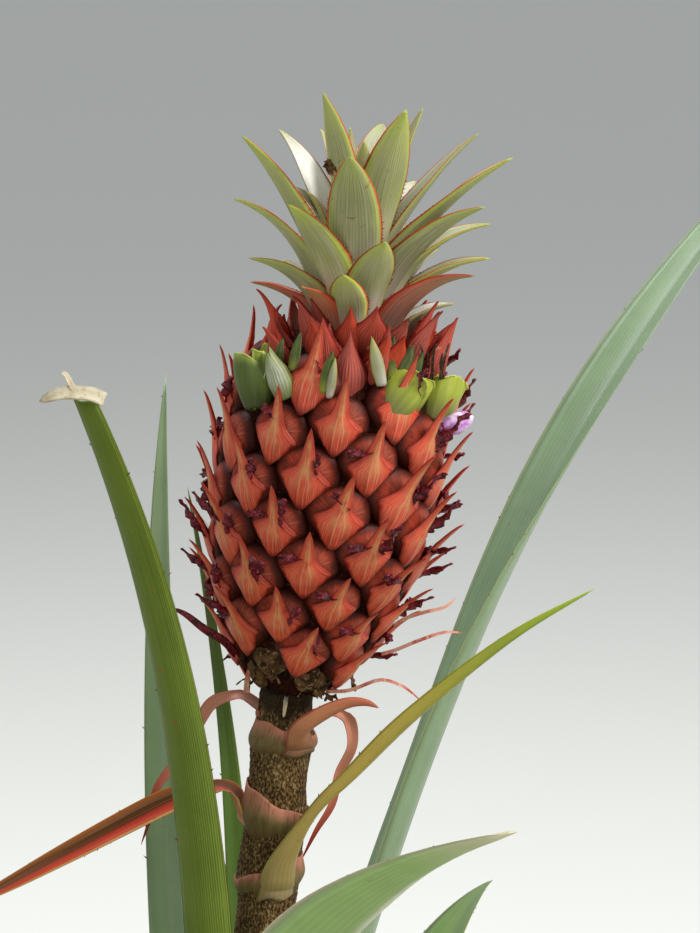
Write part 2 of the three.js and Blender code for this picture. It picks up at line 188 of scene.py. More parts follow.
class Tree:
    """Adds nodes to a shader tree or a geometry tree."""

    def __init__(self, group: bpy.types.NodeTree) -> None:
        """Keeps the node tree."""
        self.group = group

    def node(self, kind: str, settings: dict | None = None, values: dict | None = None,
             out: str | int = 0) -> Value:
        """Adds a node.

        Args:
            kind: The node's type.
            settings: Its settings, set first; stops are those of a colour ramp.
            values: Numbers or links of its sockets, by name or place.
            out: The output that comes back.

        Returns:
            That output.
        """
        made = self.group.nodes.new(kind)
        for name, setting in (settings or {}).items():
            if name == "stops":
                ramp = made.color_ramp.elements
                while len(ramp) < len(setting):
                    ramp.new(0.5)
                for element, (place, colour) in zip(ramp, setting):
                    element.position, element.color = place, colour
            else:
                setattr(made, name, setting)
        for key, value in (values or {}).items():
            if isinstance(value, Value):
                self.group.links.new(value.socket, made.inputs[key])
            else:
                made.inputs[key].default_value = value
        return Value(self, made.outputs[out])

    def maths(self, operation: str, left: Any, right: Any = 0.0) -> Value:
        """One sum of two items, as vector maths where either is a vector."""
        if is_vector(left) or is_vector(right):
            if operation == "MULTIPLY" and not (is_vector(left) and is_vector(right)):
                vector, number = (left, right) if is_vector(left) else (right, left)
                return self.node("ShaderNodeVectorMath", {"operation": "SCALE"}, {0: vector, 3: number})
            return self.node("ShaderNodeVectorMath", {"operation": operation}, {0: left, 1: right})
        return self.node("ShaderNodeMath", {"operation": operation}, {0: left, 1: right})

    def step(self, value: Value, low: float, high: float) -> Value:
        """A smooth step from 0 at low to 1 at high; low may be the larger one."""
        return self.node("ShaderNodeMapRange", {"interpolation_type": "SMOOTHSTEP"},
                         {0: value, 1: low, 2: high, 3: 0.0, 4: 1.0})

    def mix(self, share: Any, low: Any, high: Any) -> Value:
        """A colour between two colours."""
        return self.node("ShaderNodeMix", {"data_type": "RGBA"}, {0: share, 6: low, 7: high}, 2)

    def layers(self, colour: Any, *coats: tuple[Any, Any]) -> Any:
        """A colour under others, each laid on by its own share."""
        for share, other in coats:
            colour = self.mix(share, colour, other)
        return colour

    def noise(self, scale: float, detail: float = 3.0, where: Value | None = None) -> Value:
        """Noise from 0 to 1 on Object coordinates, or on another vector."""
        place = where or self.node("ShaderNodeTexCoord", out="Object")
        return self.node("ShaderNodeTexNoise", None, {"Vector": place, "Scale": scale, "Detail": detail})

    def attribute(self, name: str) -> Value:
        """A number that the mesh carries, in a shader."""
        return self.node("ShaderNodeAttribute", {"attribute_name": name}, None, "Fac")

    def named(self, name: str, kind: str = "FLOAT") -> Value:
        """A number or a vector that the geometry carries, in a geometry tree."""
        return self.node("GeometryNodeInputNamedAttribute", {"data_type": kind}, {0: name})

    def flow(self) -> tuple[Value, Value]:
        """The surface coordinates: the share across and the share along."""
        place = self.node("ShaderNodeUVMap", {"uv_map": FLOW})
        across = self.node("ShaderNodeSeparateXYZ", None, {0: place})
        return across, across.other(1)

    def vector(self, x: Any, y: Any, z: Any) -> Value:
        """A vector of three parts."""
        return self.node("ShaderNodeCombineXYZ", None, {0: x, 1: y, 2: z})

    def random(self, low: float, high: float, seed: Any) -> Value:
        """A random number for each element of a geometry tree."""
        return self.node("FunctionNodeRandomValue", {"data_type": "FLOAT"}, {2: low, 3: high, 8: seed}, 1)


@dataclass(frozen=True)
class Finish:
    """A finish: its constants, and how its colour and relief change over the surface."""

    title: str
    roughness: float = 0.5
    relief: float = 0.4
    depth_mm: float = 0.4
    coat: float = 0.0
    gloss: float = 0.3
    palette: ClassVar[tuple[str, ...]] = ()

    @classmethod
    def of(cls, title: str, roughness: float, relief: float, depth_mm: float, *colours: tuple, **more: Any,
           ) -> "Finish":
        """A finish from its constants and the display colours that its palette names, in that order."""
        named = {name: rgb(*colour) for name, colour in zip(cls.palette, colours)}
        return cls(title, roughness, relief, depth_mm, **named, **more)

    def paint(self, tree: Tree) -> dict[str, Any]:
        """What changes over the surface, by the shader's socket, with Height for the relief."""
        raise NotImplementedError

    def material(self) -> bpy.types.Material:
        """Builds the material, or gives it back where it is built."""
        if self.title in bpy.data.materials:
            return bpy.data.materials[self.title]
        made = bpy.data.materials.new(self.title)
        made.use_nodes = True
        tree = Tree(made.node_tree)
        shader = made.node_tree.nodes["Principled BSDF"]
        constants = {"Roughness": self.roughness, "Specular IOR Level": self.gloss,
                     "Coat Weight": self.coat, "Coat Roughness": COAT_ROUGHNESS}
        for name, value in constants.items():
            shader.inputs[name].default_value = value
        painted = self.paint(tree)
        height = painted.pop("Height", None)
        if height is not None:
            painted["Normal"] = tree.node("ShaderNodeBump", None, {
                "Strength": self.relief, "Distance": self.depth_mm * MM, "Height": height})
        for name, value in painted.items():
            made.node_tree.links.new(value.socket, shader.inputs[name])
        return made


@dataclass(frozen=True)
class BractFinish(Finish):
    """Coral bract: lines that fan out from the beak, a tan streak below it, deep red margins and painted
    shade at its foot.
    """

    coral: Colour = rgb(206, 76, 52)
    deep: Colour = rgb(140, 28, 20)
    streak: Colour = rgb(216, 150, 98)
    pale: Colour = rgb(236, 152, 118)
    # Painted shade for the bract's lowest part, where it dips into the crevice.
    foot: Colour = rgb(74, 20, 10)

    def paint(self, tree: Tree) -> dict[str, Any]:
        """Colour from the share across and along the bract; inner runs from its keel to its margin."""
        across, along = tree.flow()
        tint = tree.attribute("tint")
        margin = tree.attribute("inner")
        off = tree.maths("ABSOLUTE", across - 0.5) * 2
        lines = tree.noise(1.0, 2.0, tree.vector(across * 17, along * 0.8, tint * 40))
        fine = tree.noise(1.0, 2.0, tree.vector(across * 52, along * 2, tint * 90))
        patch = tree.noise(230.0)
        red = tree.step(lines + (patch - 0.5) * 0.4, 0.42, 0.62) * 0.65 + tree.step(tint, 0.4, 1.0) * 0.2
        middle = tree.step(off, 0.62, 0.1) * tree.step(along, 0.1, 0.5) * tree.step(along, 1.0, 0.72)
        colour = tree.layers(
            self.coral, (red, self.deep),
            (middle * tree.step(patch + lines, 0.7, 1.15) * 0.95, self.streak),
            (tree.step(fine, 0.52, 0.66) * tree.step(along, 1.0, 0.55) * 0.5, self.pale),
            (tree.step(margin, 0.7, 1.0) * 0.55, self.deep),
            # The lowest part of the bract darkens with painted shade.
            (tree.step(along, 0.12, 0.0) * 0.8, self.foot))
        return {"Base Color": colour, "Height": lines + fine * 0.5 + patch * 0.2}


@dataclass(frozen=True)
class DomeFinish(Finish):
    """Fruitlet dome: red brown, with fine hairs out from its dimple, a painted pink highlight on its upper
    side, painted shade on its lower side and a rim darkened by painted crevice shade.
    """

    rose: Colour = rgb(144, 48, 30)
    brown: Colour = rgb(100, 34, 18)
    # Pink of the pale hair lines, and of the painted highlight on the dome's upper side.
    sheen_and_hairs: Colour = rgb(214, 118, 94)
    # Dark of the dimple, and of the painted shade on the dome's lower side.
    dark: Colour = rgb(62, 18, 11)
    # Painted crevice shade round the dome's rim.
    rim: Colour = rgb(50, 16, 9)

    def paint(self, tree: Tree) -> dict[str, Any]:
        """Colour from the share out to the rim and the turn round the dome."""
        turn, out = tree.flow()
        tint = tree.attribute("tint")
        angle = turn * math.tau
        cosine, sine = tree.maths("COSINE", angle), tree.maths("SINE", angle)
        round_about = tree.vector(cosine * 24, sine * 24, tint * 31)
        hairs = tree.noise(1.0, 2.0, round_about + tree.vector(out * 2, out * 2, 0.0))
        side = cosine * 0.5 + sine
        patch = tree.noise(240.0)
        # Mask of the painted highlight on the dome's upper side, where the light falls.
        upper = tree.step(side, 0.35, 1.05) * tree.step(out, 0.88, 0.6) * tree.step(out, 0.25, 0.5)
        colour = tree.layers(
            self.rose, (tree.step(patch, 0.35, 0.65), self.brown),
            # Painted highlight on the upper side, streaked by the hairs.
            (upper * (tree.step(hairs, 0.4, 0.62) * 0.35 + 0.15), self.sheen_and_hairs),
            (tree.step(hairs, 0.56, 0.7) * 0.14, self.sheen_and_hairs),
            (tree.step(out, 0.3, 0.2) * 0.75, self.dark),
            # Painted shade on the dome's lower side.
            (tree.step(side, 0.1, -0.9) * tree.step(out, 0.3, 0.6) * 0.5, self.dark),
            # Painted crevice shade towards the dome's rim.
            (tree.step(out, 0.72, 0.94) * 0.94, self.rim))
        return {"Base Color": colour, "Height": hairs + patch * 0.6}


@dataclass(frozen=True)
class PlainFinish(Finish):
    """A finish of two or three colours in soft patches and fine specks."""

    base: Colour = rgb(60, 30, 20)
    patch: Colour = rgb(30, 16, 10)
    speck: Colour = rgb(120, 90, 60)
    patch_scale: float = 120.0
    speck_scale: float = 900.0
    speck_share: float = 0.4
    palette: ClassVar[tuple[str, ...]] = ("base", "patch", "speck")

    def paint(self, tree: Tree) -> dict[str, Any]:
        """Patches and specks on Object coordinates."""
        patch = tree.noise(self.patch_scale)
        speck = tree.noise(self.speck_scale, 2.0)
        colour = tree.layers(self.base, (tree.step(patch, 0.4, 0.62), self.patch),
                             (tree.step(speck, 0.55, 0.7) * self.speck_share, self.speck))
        return {"Base Color": colour, "Height": patch + speck * 0.6}


@dataclass(frozen=True)
class BladeFinish(Finish):
    """A leaf from foot to tip: fine lines along it, painted shade in its rib grooves, thin edges, and
    another colour inside.
    """

    foot: Colour = rgb(120, 120, 80)
    middle: Colour = rgb(100, 120, 55)
    tip: Colour = rgb(120, 140, 50)
    edge: Colour = rgb(150, 150, 70)
    inside: Colour = rgb(110, 130, 60)
    inside_reach: float = 1.0
    border: Colour | None = None
    bands: tuple = ()
    edge_width: float = 0.06
    ribs: float = 14.0
    rib_depth: float = 0.25
    line_share: float = 0.35
    spot: Colour = rgb(120, 84, 40)
    spot_share: float = 0.3
    middle_by: float = 0.42
    tip_from: float = 0.55
    palette: ClassVar[tuple[str, ...]] = ("foot", "middle", "tip", "edge", "inside")

    def paint(self, tree: Tree) -> dict[str, Any]:
        """Colour from the share across and along the blade and the side of the leaf."""
        across, along = tree.flow()
        tint = tree.attribute("tint")
        inner = tree.step(tree.attribute("inner"), 0.45, 0.75)
        off = tree.maths("ABSOLUTE", across - 0.5) * 2
        lines = tree.noise(1.0, 1.0, tree.vector(across * self.ribs * 3, along * 3, tint * 50))
        ribs = tree.maths("SINE", across * (math.tau * self.ribs)) * 0.5 + 0.5
        patch = tree.noise(55.0)
        middle = self.middle
        if self.bands:
            stops = [(place, rgb(*colour)) for place, *colour in self.bands]
            middle = tree.node("ShaderNodeValToRGB", {"stops": stops}, {0: across})
        colour = tree.layers(self.foot, (tree.step(along, 0.04, self.middle_by), middle),
                             (tree.step(along, self.tip_from, 1.0), self.tip))
        if self.border:
            colour = tree.mix(tree.step(off + (patch - 0.5) * 0.2, 0.62, 0.92) * 0.8, colour, self.border)
        reach = tree.step(along, self.inside_reach + 0.2, self.inside_reach - 0.2)
        colour = tree.mix(inner * reach, colour, self.inside)
        # Value darkens in the rib grooves in step with their depth: painted shade.
        shade = tree.node("ShaderNodeHueSaturation", None, {
            "Hue": 0.5, "Saturation": 0.92 + tint * 0.16,
            "Value": 0.68 + tint * 0.26 + patch * 0.38 - ribs * (self.rib_depth * 0.45), "Color": colour})
        dots = tree.step(tree.noise(420.0, 2.0), 0.66, 0.72) * tree.step(tree.noise(38.0), 0.45, 0.6)
        rim = tree.step(off + (patch - 0.5) * 0.04, 1 - self.edge_width * 1.5, 1 - self.edge_width * 0.5)
        colour = tree.layers(shade, (tree.step(lines, 0.45, 0.66) * self.line_share, self.foot),
                             (dots * self.spot_share, self.spot), (rim, self.edge))
        return {"Base Color": colour, "Height": lines * 0.6 - ribs * self.rib_depth + patch * 0.3}


@dataclass(frozen=True)
class StalkFinish(Finish):
    """Brown stalk with a mosaic of black, tan and cream flecks, and a painted shadow at its top under the
    fruit.
    """

    brown: Colour = rgb(116, 90, 52)
    dark: Colour = rgb(54, 34, 16)
    cream: Colour = rgb(164, 146, 108)
    # Painted shadow colour at the stalk's top, under the fruit.
    painted_shadow: Colour = rgb(40, 26, 14)

    def paint(self, tree: Tree) -> dict[str, Any]:
        """Flecks stretched along the stalk; the mesh's tint says where the painted shadow under the fruit
        falls.
        """
        where = tree.node("ShaderNodeTexCoord", out="Object")
        place = tree.node("ShaderNodeMapping", None, {"Vector": where, "Scale": (1.0, 1.0, 0.55)})
        fine = tree.noise(1500.0, 3.0, place)
        cell = tree.node("ShaderNodeTexVoronoi", None, {"Vector": place, "Scale": 1150.0})
        patch = tree.noise(130.0, 4.0)
        pale = tree.step(fine + (patch - 0.5) * 0.5, 0.6, 0.68)
        colour = tree.layers(
            self.brown, (tree.step(fine, 0.56, 0.44), self.dark), (pale * 0.7, self.cream),
            # The last coat is the painted shadow under the fruit.
            (tree.step(patch, 0.45, 0.7) * 0.4, self.brown), (tree.attribute("tint"), self.painted_shadow))
        return {"Base Color": colour, "Height": fine * 1.5 - cell}


class Kind(Enum):
    """The finishes of the plant."""

    BRACT = BractFinish("coral_bract", 0.5, 0.8, 0.3, gloss=0.3)
    DOME = DomeFinish("fruitlet_dome", 0.46, 0.6, 0.2, gloss=0.12)
    # Near black core: brown fuzz of the crevices, darkened with painted crevice shade.
    CREVICE = PlainFinish.of("dark_crevice", 0.9, 0.9, 1.2, (46, 16, 9), (22, 9, 5), (104, 70, 44),
        gloss=0.05, speck_share=0.4)
    FUZZ = PlainFinish.of("dry_bract_foot", 0.85, 0.9, 1.0, (106, 76, 48), (54, 36, 20), (172, 140, 102),
        gloss=0.1, speck_share=0.6, patch_scale=300.0)
    WITHERED = PlainFinish.of("withered_flower", 0.45, 0.9, 0.6, (118, 20, 36), (58, 8, 16), (196, 92, 108),
        patch_scale=500.0, speck_scale=1400.0, speck_share=0.5)
    WISP = PlainFinish.of("pale_wisp", 0.55, 0.4, 0.3, (214, 150, 128), (184, 84, 66), (238, 210, 190))
    LILAC = PlainFinish.of("lilac_petal", 0.35, 0.3, 0.3, (192, 132, 204), (228, 212, 234), (146, 60, 140),
        patch_scale=260.0, speck_share=0.5)
    CROWN = BladeFinish.of("crown_leaf", 0.55, 0.5, 0.22, (208, 194, 174), (152, 155, 106), (172, 184, 88),
        (204, 84, 38), (176, 180, 146), inside_reach=0.9, border=rgb(172, 184, 80), edge_width=0.06,
        ribs=17, rib_depth=0.4, line_share=0.3, spot=rgb(122, 60, 40), spot_share=0.5, gloss=0.2)
    HOARY = BladeFinish.of("hoary_leaf", 0.5, 0.4, 0.22, (190, 184, 170), (158, 158, 124), (172, 174, 96),
        (186, 92, 50), (238, 236, 228), inside_reach=0.88, border=rgb(170, 176, 96), edge_width=0.05,
        ribs=16, line_share=0.25, spot_share=0.2, gloss=0.2)
    SCALE = BladeFinish.of("red_scale", 0.55, 0.7, 0.3, (150, 56, 42), (206, 90, 70), (214, 84, 62),
        (176, 44, 34), (214, 150, 134), inside_reach=0.5, border=rgb(186, 62, 46), edge_width=0.08, ribs=12,
        rib_depth=0.7, line_share=0.55, spot=rgb(232, 170, 148), spot_share=0.4, gloss=0.2)
    BLUSH = BladeFinish.of("blush_leaf", 0.55, 0.5, 0.25, (186, 140, 116), (190, 118, 90), (176, 140, 88),
        (206, 66, 40), (214, 190, 174), inside_reach=0.6, border=rgb(208, 84, 56), edge_width=0.09, ribs=15,
        rib_depth=0.5, line_share=0.35, tip_from=0.4, gloss=0.2)
    ROSETTE = BladeFinish.of("rosette_leaf", 0.34, 0.35, 0.3, (150, 156, 96), (90, 114, 52), (104, 126, 56),
        (158, 166, 84), (82, 110, 48), coat=0.1, gloss=0.2, edge_width=0.045, ribs=18, line_share=0.18,
        spot_share=0.5)
    CUT = BladeFinish.of("cut_leaf", 0.5, 0.8, 0.3, (128, 148, 62), (116, 136, 44), (108, 128, 32),
        (150, 160, 66), (114, 132, 44), gloss=0.12, edge_width=0.04, ribs=26, rib_depth=0.7,
        line_share=0.35, spot=rgb(150, 92, 40), spot_share=0.9)
    PALE = BladeFinish.of("pale_leaf", 0.36, 0.3, 0.3, (130, 150, 108), (124, 148, 110), (136, 160, 124),
        (160, 172, 120), (124, 148, 110), coat=0.15, edge_width=0.05, ribs=18, line_share=0.15)
    FRONT = BladeFinish.of("front_leaf", 0.4, 0.3, 0.3, (160, 182, 118), (162, 190, 122), (208, 200, 168),
        (214, 208, 168), (146, 178, 106), inside_reach=-1.0, edge_width=0.06, ribs=18,
        line_share=0.15, coat=0.15, tip_from=0.88, bands=(
            (0.0, 152, 182, 112), (0.5, 160, 188, 120), (0.64, 214, 216, 178), (1.0, 230, 226, 204)))
    LONG = BladeFinish.of("lime_stalk_leaf", 0.42, 0.4, 0.22, (150, 128, 92), (186, 160, 62),
        (140, 168, 28), (178, 180, 56), (186, 176, 58), inside_reach=0.3, ribs=8, line_share=0.12,
        middle_by=0.5, tip_from=0.45)
    RED = BladeFinish.of("red_stalk_leaf", 0.5, 0.5, 0.25, (204, 138, 116), (170, 74, 42), (104, 96, 44),
        (186, 110, 44), (170, 84, 44), inside_reach=-1.0, gloss=0.1, ribs=11, line_share=0.25,
        spot=rgb(84, 76, 32), spot_share=0.6, middle_by=0.34, tip_from=0.8, edge_width=0.05, bands=(
            (0.0, 176, 104, 36), (0.12, 150, 84, 30), (0.26, 92, 62, 22), (0.46, 104, 52, 22),
            (0.56, 184, 50, 26), (0.84, 194, 66, 36), (0.93, 180, 150, 70), (1.0, 204, 190, 120)))
    TAN = BladeFinish.of("tan_stalk_leaf", 0.5, 0.5, 0.25, (112, 82, 56), (176, 112, 76), (190, 104, 78),
        (186, 86, 68), (176, 128, 88), inside_reach=0.4, ribs=11, line_share=0.3, middle_by=0.45)
    PINK = BladeFinish.of("pink_stalk_leaf", 0.5, 0.4, 0.25, (150, 96, 72), (206, 98, 80), (140, 36, 30),
        (176, 66, 56), (196, 132, 108), inside_reach=0.7, ribs=6, line_share=0.25, tip_from=0.7)
    SHEATH = BladeFinish.of("stalk_sheath", 0.6, 0.7, 0.35, (88, 66, 38), (118, 100, 62), (190, 122, 98),
        (150, 96, 70), (170, 120, 90), ribs=20, inside_reach=-1.0, edge_width=0.01, line_share=0.4,
        spot=rgb(62, 44, 24), spot_share=0.9, middle_by=0.5, tip_from=0.55, gloss=0.15)
    SHOOT = BladeFinish.of("torn_shoot", 0.5, 0.6, 0.5, (70, 82, 32), (88, 106, 36), (186, 198, 80),
        (200, 204, 112), (150, 168, 58), edge_width=0.05, ribs=9, rib_depth=0.2, line_share=0.2,
        spot=rgb(104, 68, 32), spot_share=0.9, tip_from=0.68)
    LIME = BladeFinish.of("lime_torn_shoot", 0.42, 0.5, 0.5, (120, 122, 60), (170, 182, 46), (220, 218, 96),
        (218, 220, 130), (176, 200, 60), edge_width=0.05, ribs=9, line_share=0.25, spot=rgb(130, 90, 46),
        spot_share=0.6, tip_from=0.8, middle_by=0.7)
    OLIVE = BladeFinish.of("olive_shoot_leaf", 0.46, 0.5, 0.3, (136, 140, 60), (70, 88, 40), (66, 78, 38),
        (140, 148, 110), (84, 108, 70), edge_width=0.08, ribs=8, line_share=0.3)
    SCURF = BladeFinish.of("scurfy_foot_leaf", 0.6, 0.6, 0.4, (120, 134, 80), (186, 190, 166),
        (160, 170, 110), (110, 100, 50), (150, 164, 90), border=rgb(128, 146, 64), edge_width=0.1, ribs=10,
        rib_depth=0.5, line_share=0.5, spot=rgb(110, 84, 50), spot_share=0.6)
    DRY = PlainFinish.of("dry_flap", 0.7, 0.5, 0.5, (206, 196, 168), (168, 152, 118), (120, 96, 66))
    THREAD = PlainFinish.of("dry_thread", 0.7, 0.6, 0.4, (78, 60, 44), (44, 30, 22), (150, 124, 92))
    STALK = StalkFinish("stalk_skin", 0.7, 0.9, 0.5, gloss=0.15)
    TRUNK = PlainFinish.of("trunk_bark", 0.85, 0.9, 1.5, (104, 84, 58), (62, 48, 34), (150, 132, 98),
        patch_scale=60.0, speck_scale=400.0)
    SPINE = PlainFinish.of("leaf_spine", 0.5, 0.1, 0.1, (120, 48, 26), (70, 26, 16), (160, 90, 50))


def keep(piece: bpy.types.Object, slot: str, *nodes: str) -> None:
    """Hands a finished piece over to the frame.

    Args:
        piece: The piece.
        slot: Not used.
        nodes: CAD nodes that it stands for.
    """
    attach(piece, BODY)
    if nodes:
        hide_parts(*nodes)
    LOG.info("%s: %d triangles", piece.name, sum(len(p.vertices) - 2 for p in piece.data.polygons))


def store(mesh: bpy.types.Mesh, name: str, values: Array, kind: str = "FLOAT") -> None:
    """Gives each point of a mesh a number or a vector."""
    layer = mesh.attributes.new(name, kind, "POINT")
    layer.data.foreach_set("value" if kind == "FLOAT" else "vector", values.astype(np.float32).ravel())


class Skin:
    """Points, faces and surface coordinates that become one mesh; points are in millimetres."""

    def __init__(self) -> None:
        """Starts empty."""
        self.points: list[Array] = []
        self.flow: list[Array] = []
        self.tint: list[Array] = []
        self.inner: list[Array] = []
        self.faces: list[tuple[int, ...]] = []
        self.count = 0

    def add(self, points: Array, faces: list[tuple[int, ...]], flow: Array, tint: Any, inner: Any) -> None:
        """Adds points and faces that count from them."""
        self.faces += [tuple(index + self.count for index in face) for face in faces]
        size = len(points)
        self.points.append(points)
        self.flow.append(flow)
        self.tint.append(np.broadcast_to(tint, size))
        self.inner.append(np.broadcast_to(inner, size))
        self.count += size

    def tube(self, rings: Array, flow: Array, tint: Any = 0.5, inner: Any = 0.0, pointed: bool = False,
             ) -> "Skin":
        """Adds a closed skin over rings.

        Args:
            rings: Points, ring by ring.
            flow: Surface coordinates of each point.
            tint: A number for all, or one for each point of each ring.
            inner: 1 on the inner side of a leaf, for each point of a ring.
            pointed: Whether the last ring is one point.

        Returns:
            The skin itself.
        """
        rows, cols = rings.shape[:2]
        rows -= pointed
        points, coords = rings[:rows].reshape(-1, 3), flow[:rows].reshape(-1, 2)
        inside = np.tile(np.broadcast_to(inner, cols), rows)
        tints = np.broadcast_to(tint, rings.shape[:2])[:rows].reshape(-1)
        faces = []
        for row in range(rows - 1):
            for col in range(cols):
                a, b = row * cols + col, row * cols + (col + 1) % cols
                faces.append((a, b, b + cols, a + cols))
        last = (rows - 1) * cols
        faces += self.lid(0, cols)
        if pointed:
            points = np.concatenate([points, rings[-1].mean(axis=0)[None]])
            coords = np.concatenate([coords, flow[-1].mean(axis=0)[None]])
            inside, tints = np.append(inside, 0.5), np.append(tints, tints[-1])
            faces += [(last + col, last + (col + 1) % cols, rows * cols) for col in range(cols)]
        else:
            faces += self.lid(last, cols)
        self.add(points, faces, coords, tints, inside)
        return self

    def lid(self, first: int, cols: int) -> list[tuple[int, ...]]:
        """Faces that close a ring of an even number of points, straight across from half to half."""
        half, after = cols // 2, first + cols
        ends = [(first, first + 1, after - 1), (first + half - 1, first + half, first + half + 1)]
        return ends + [(first + k, first + k + 1, after - k - 1, after - k) for k in range(1, half - 1)]

    def leaf(self, rings: Array, columns: int, tint: float, pointed: bool) -> None:
        """Adds a thin closed leaf.

        Args:
            rings: Its sections: the inner face's points, then the outer face's, back again.
            columns: Points across the inner face.
            tint: Its shade.
            pointed: Whether the last section is one point.
        """
        across = np.linspace(-1, 1, columns)
        share = np.concatenate([across, across[-2:0:-1]]) / 2 + 0.5
        along = np.linspace(0, 1, len(rings))
        inner = np.concatenate([[0.5], np.ones(columns - 2), [0.5], np.zeros(columns - 2)])
        self.tube(rings, spread(share[None], along[:, None]), tint, inner, pointed)

    def piece(self, name: str, finish: Kind | None = None, reach: bool = False, scale: float = MM,
              ) -> bpy.types.Object:
        """Makes the object.

        Args:
            name: The piece's name.
            finish: Its finish.
            reach: Whether the share along is kept as a number too.
            scale: Metres for one unit of the points.

        Returns:
            The object, linked where it has a finish.
        """
        mesh = bpy.data.meshes.new(name)
        mesh.from_pydata((np.concatenate(self.points) * scale).tolist(), [], self.faces)
        work = bmesh.new()
        work.from_mesh(mesh)
        bmesh.ops.recalc_face_normals(work, faces=work.faces)
        work.to_mesh(mesh)
        work.free()
        flow = np.concatenate(self.flow)
        corners = np.zeros(len(mesh.loops), np.int32)
        mesh.loops.foreach_get("vertex_index", corners)
        mesh.uv_layers.new(name=FLOW).data.foreach_set("uv", flow[corners].astype(np.float32).ravel())
        store(mesh, "tint", np.concatenate(self.tint))
        store(mesh, "inner", np.concatenate(self.inner))
        if reach:
            store(mesh, "reach", flow[:, 1])
        mesh.shade_smooth()
        made = bpy.data.objects.new(name, mesh)
        if finish:
            mesh.materials.append(finish.value.material())
            bpy.context.scene.collection.objects.link(made)
        return made


@dataclass
class Edges:
    """Lines along the margins of leaves, on which spines stand; points are in millimetres."""

    points: list[Array] = field(default_factory=list)
    outward: list[Array] = field(default_factory=list)
    strength: list[Array] = field(default_factory=list)

    def add(self, line: Array, outward: Array, strength: Array) -> None:
        """Adds one margin with the way out of it and how strong its spines are."""
        self.points.append(line)
        self.outward.append(outward)
        self.strength.append(np.broadcast_to(strength, len(line)))

    def carrier(self, name: str) -> bpy.types.Object:
        """The margins as an object of loose edges."""
        joined, start = [], 0
        for line in self.points:
            joined += [(start + k, start + k + 1) for k in range(len(line) - 1)]
            start += len(line)
        mesh = bpy.data.meshes.new(name)
        mesh.from_pydata((np.concatenate(self.points) * MM).tolist(), joined, [])
        store(mesh, "outward", np.concatenate(self.outward), "FLOAT_VECTOR")
        store(mesh, "strength", np.concatenate(self.strength))
        return bpy.data.objects.new(name, mesh)

    def spines(self, name: str, slot: str, spacing: float, length: float, share: float, seed: int) -> None:
        """Stands small hooked spines along the margins, as a piece of their own.

        Args:
            name: The piece's name.
            slot: Passed on to keep.
            spacing: Millimetres from one place for a spine to the next.
            length: How long a strong spine is, in millimetres.
            share: How many of the places bear one where spines are strong.
            seed: The seed of chance.
        """
        values = {"Spacing": spacing * MM, "Length": length * MM, "Share": share, "Seed": seed,
                  "Finish": Kind.SPINE.value.material()}
        keep(spine_growth().grow(name, values, self.carrier(name)), slot)


@dataclass
class Growth:
    """A geometry tree with named inputs, run on a carrier and kept as a plain mesh."""

    title: str
    inputs: dict[str, str]

    def __post_init__(self) -> None:
        """Makes the tree with its inputs and its output."""
        self.group = bpy.data.node_groups.new(self.title, "GeometryNodeTree")
        self.group.interface.new_socket("Geometry", in_out="OUTPUT", socket_type="NodeSocketGeometry")
        for name, kind in {"Geometry": "Geometry", **self.inputs}.items():
            self.group.interface.new_socket(name, in_out="INPUT", socket_type=f"NodeSocket{kind}")
        self.tree = Tree(self.group)
        self.given = self.group.nodes.new("NodeGroupInput")

    def input(self, name: str) -> Value:
        """One of the inputs."""
        return Value(self.tree, self.given.outputs[name])

    def close(self, instances: Value, bend: Value | None = None, place: dict | None = None) -> None:
        """Realizes the instances, bends and places them, sets the finish and ends the tree."""
        tree = self.tree
        shape = tree.node("GeometryNodeRealizeInstances", None, {0: instances})
        if bend:
            shape = tree.node("GeometryNodeSetPosition", None, {"Geometry": shape, "Offset": bend})
        if place:
            shape = tree.node("GeometryNodeTransform", None, {"Geometry": shape, **place})
        finish = self.input("Finish")
        shape = tree.node("GeometryNodeSetMaterial", None, {"Geometry": shape, "Material": finish})
        self.group.links.new(shape.socket, self.group.nodes.new("NodeGroupOutput").inputs[0])

    def grow(self, name: str, values: dict[str, Any], carrier: bpy.types.Object | None = None,
             ) -> bpy.types.Object:
        """Runs the tree.

        Args:
            name: The piece's name.
            values: The inputs, by name.
            carrier: The object whose mesh it starts from.

        Returns:
            The piece as a plain mesh.
        """
        made = carrier or bpy.data.objects.new(name, bpy.data.meshes.new(name))
        made.name = name
        bpy.context.scene.collection.objects.link(made)
        modifier = made.modifiers.new(self.title, "NODES")
        modifier.node_group = self.group
        for item in self.group.interface.items_tree:
            if item.in_out == "INPUT" and item.name in values:
                modifier[item.identifier] = values[item.name]
        made.update_tag()
        bpy.context.view_layer.update()
        seen = made.evaluated_get(bpy.context.evaluated_depsgraph_get())
        mesh = bpy.data.meshes.new_from_object(seen)
        made.modifiers.remove(modifier)
        made.data = mesh
        mesh.name = name
        return made


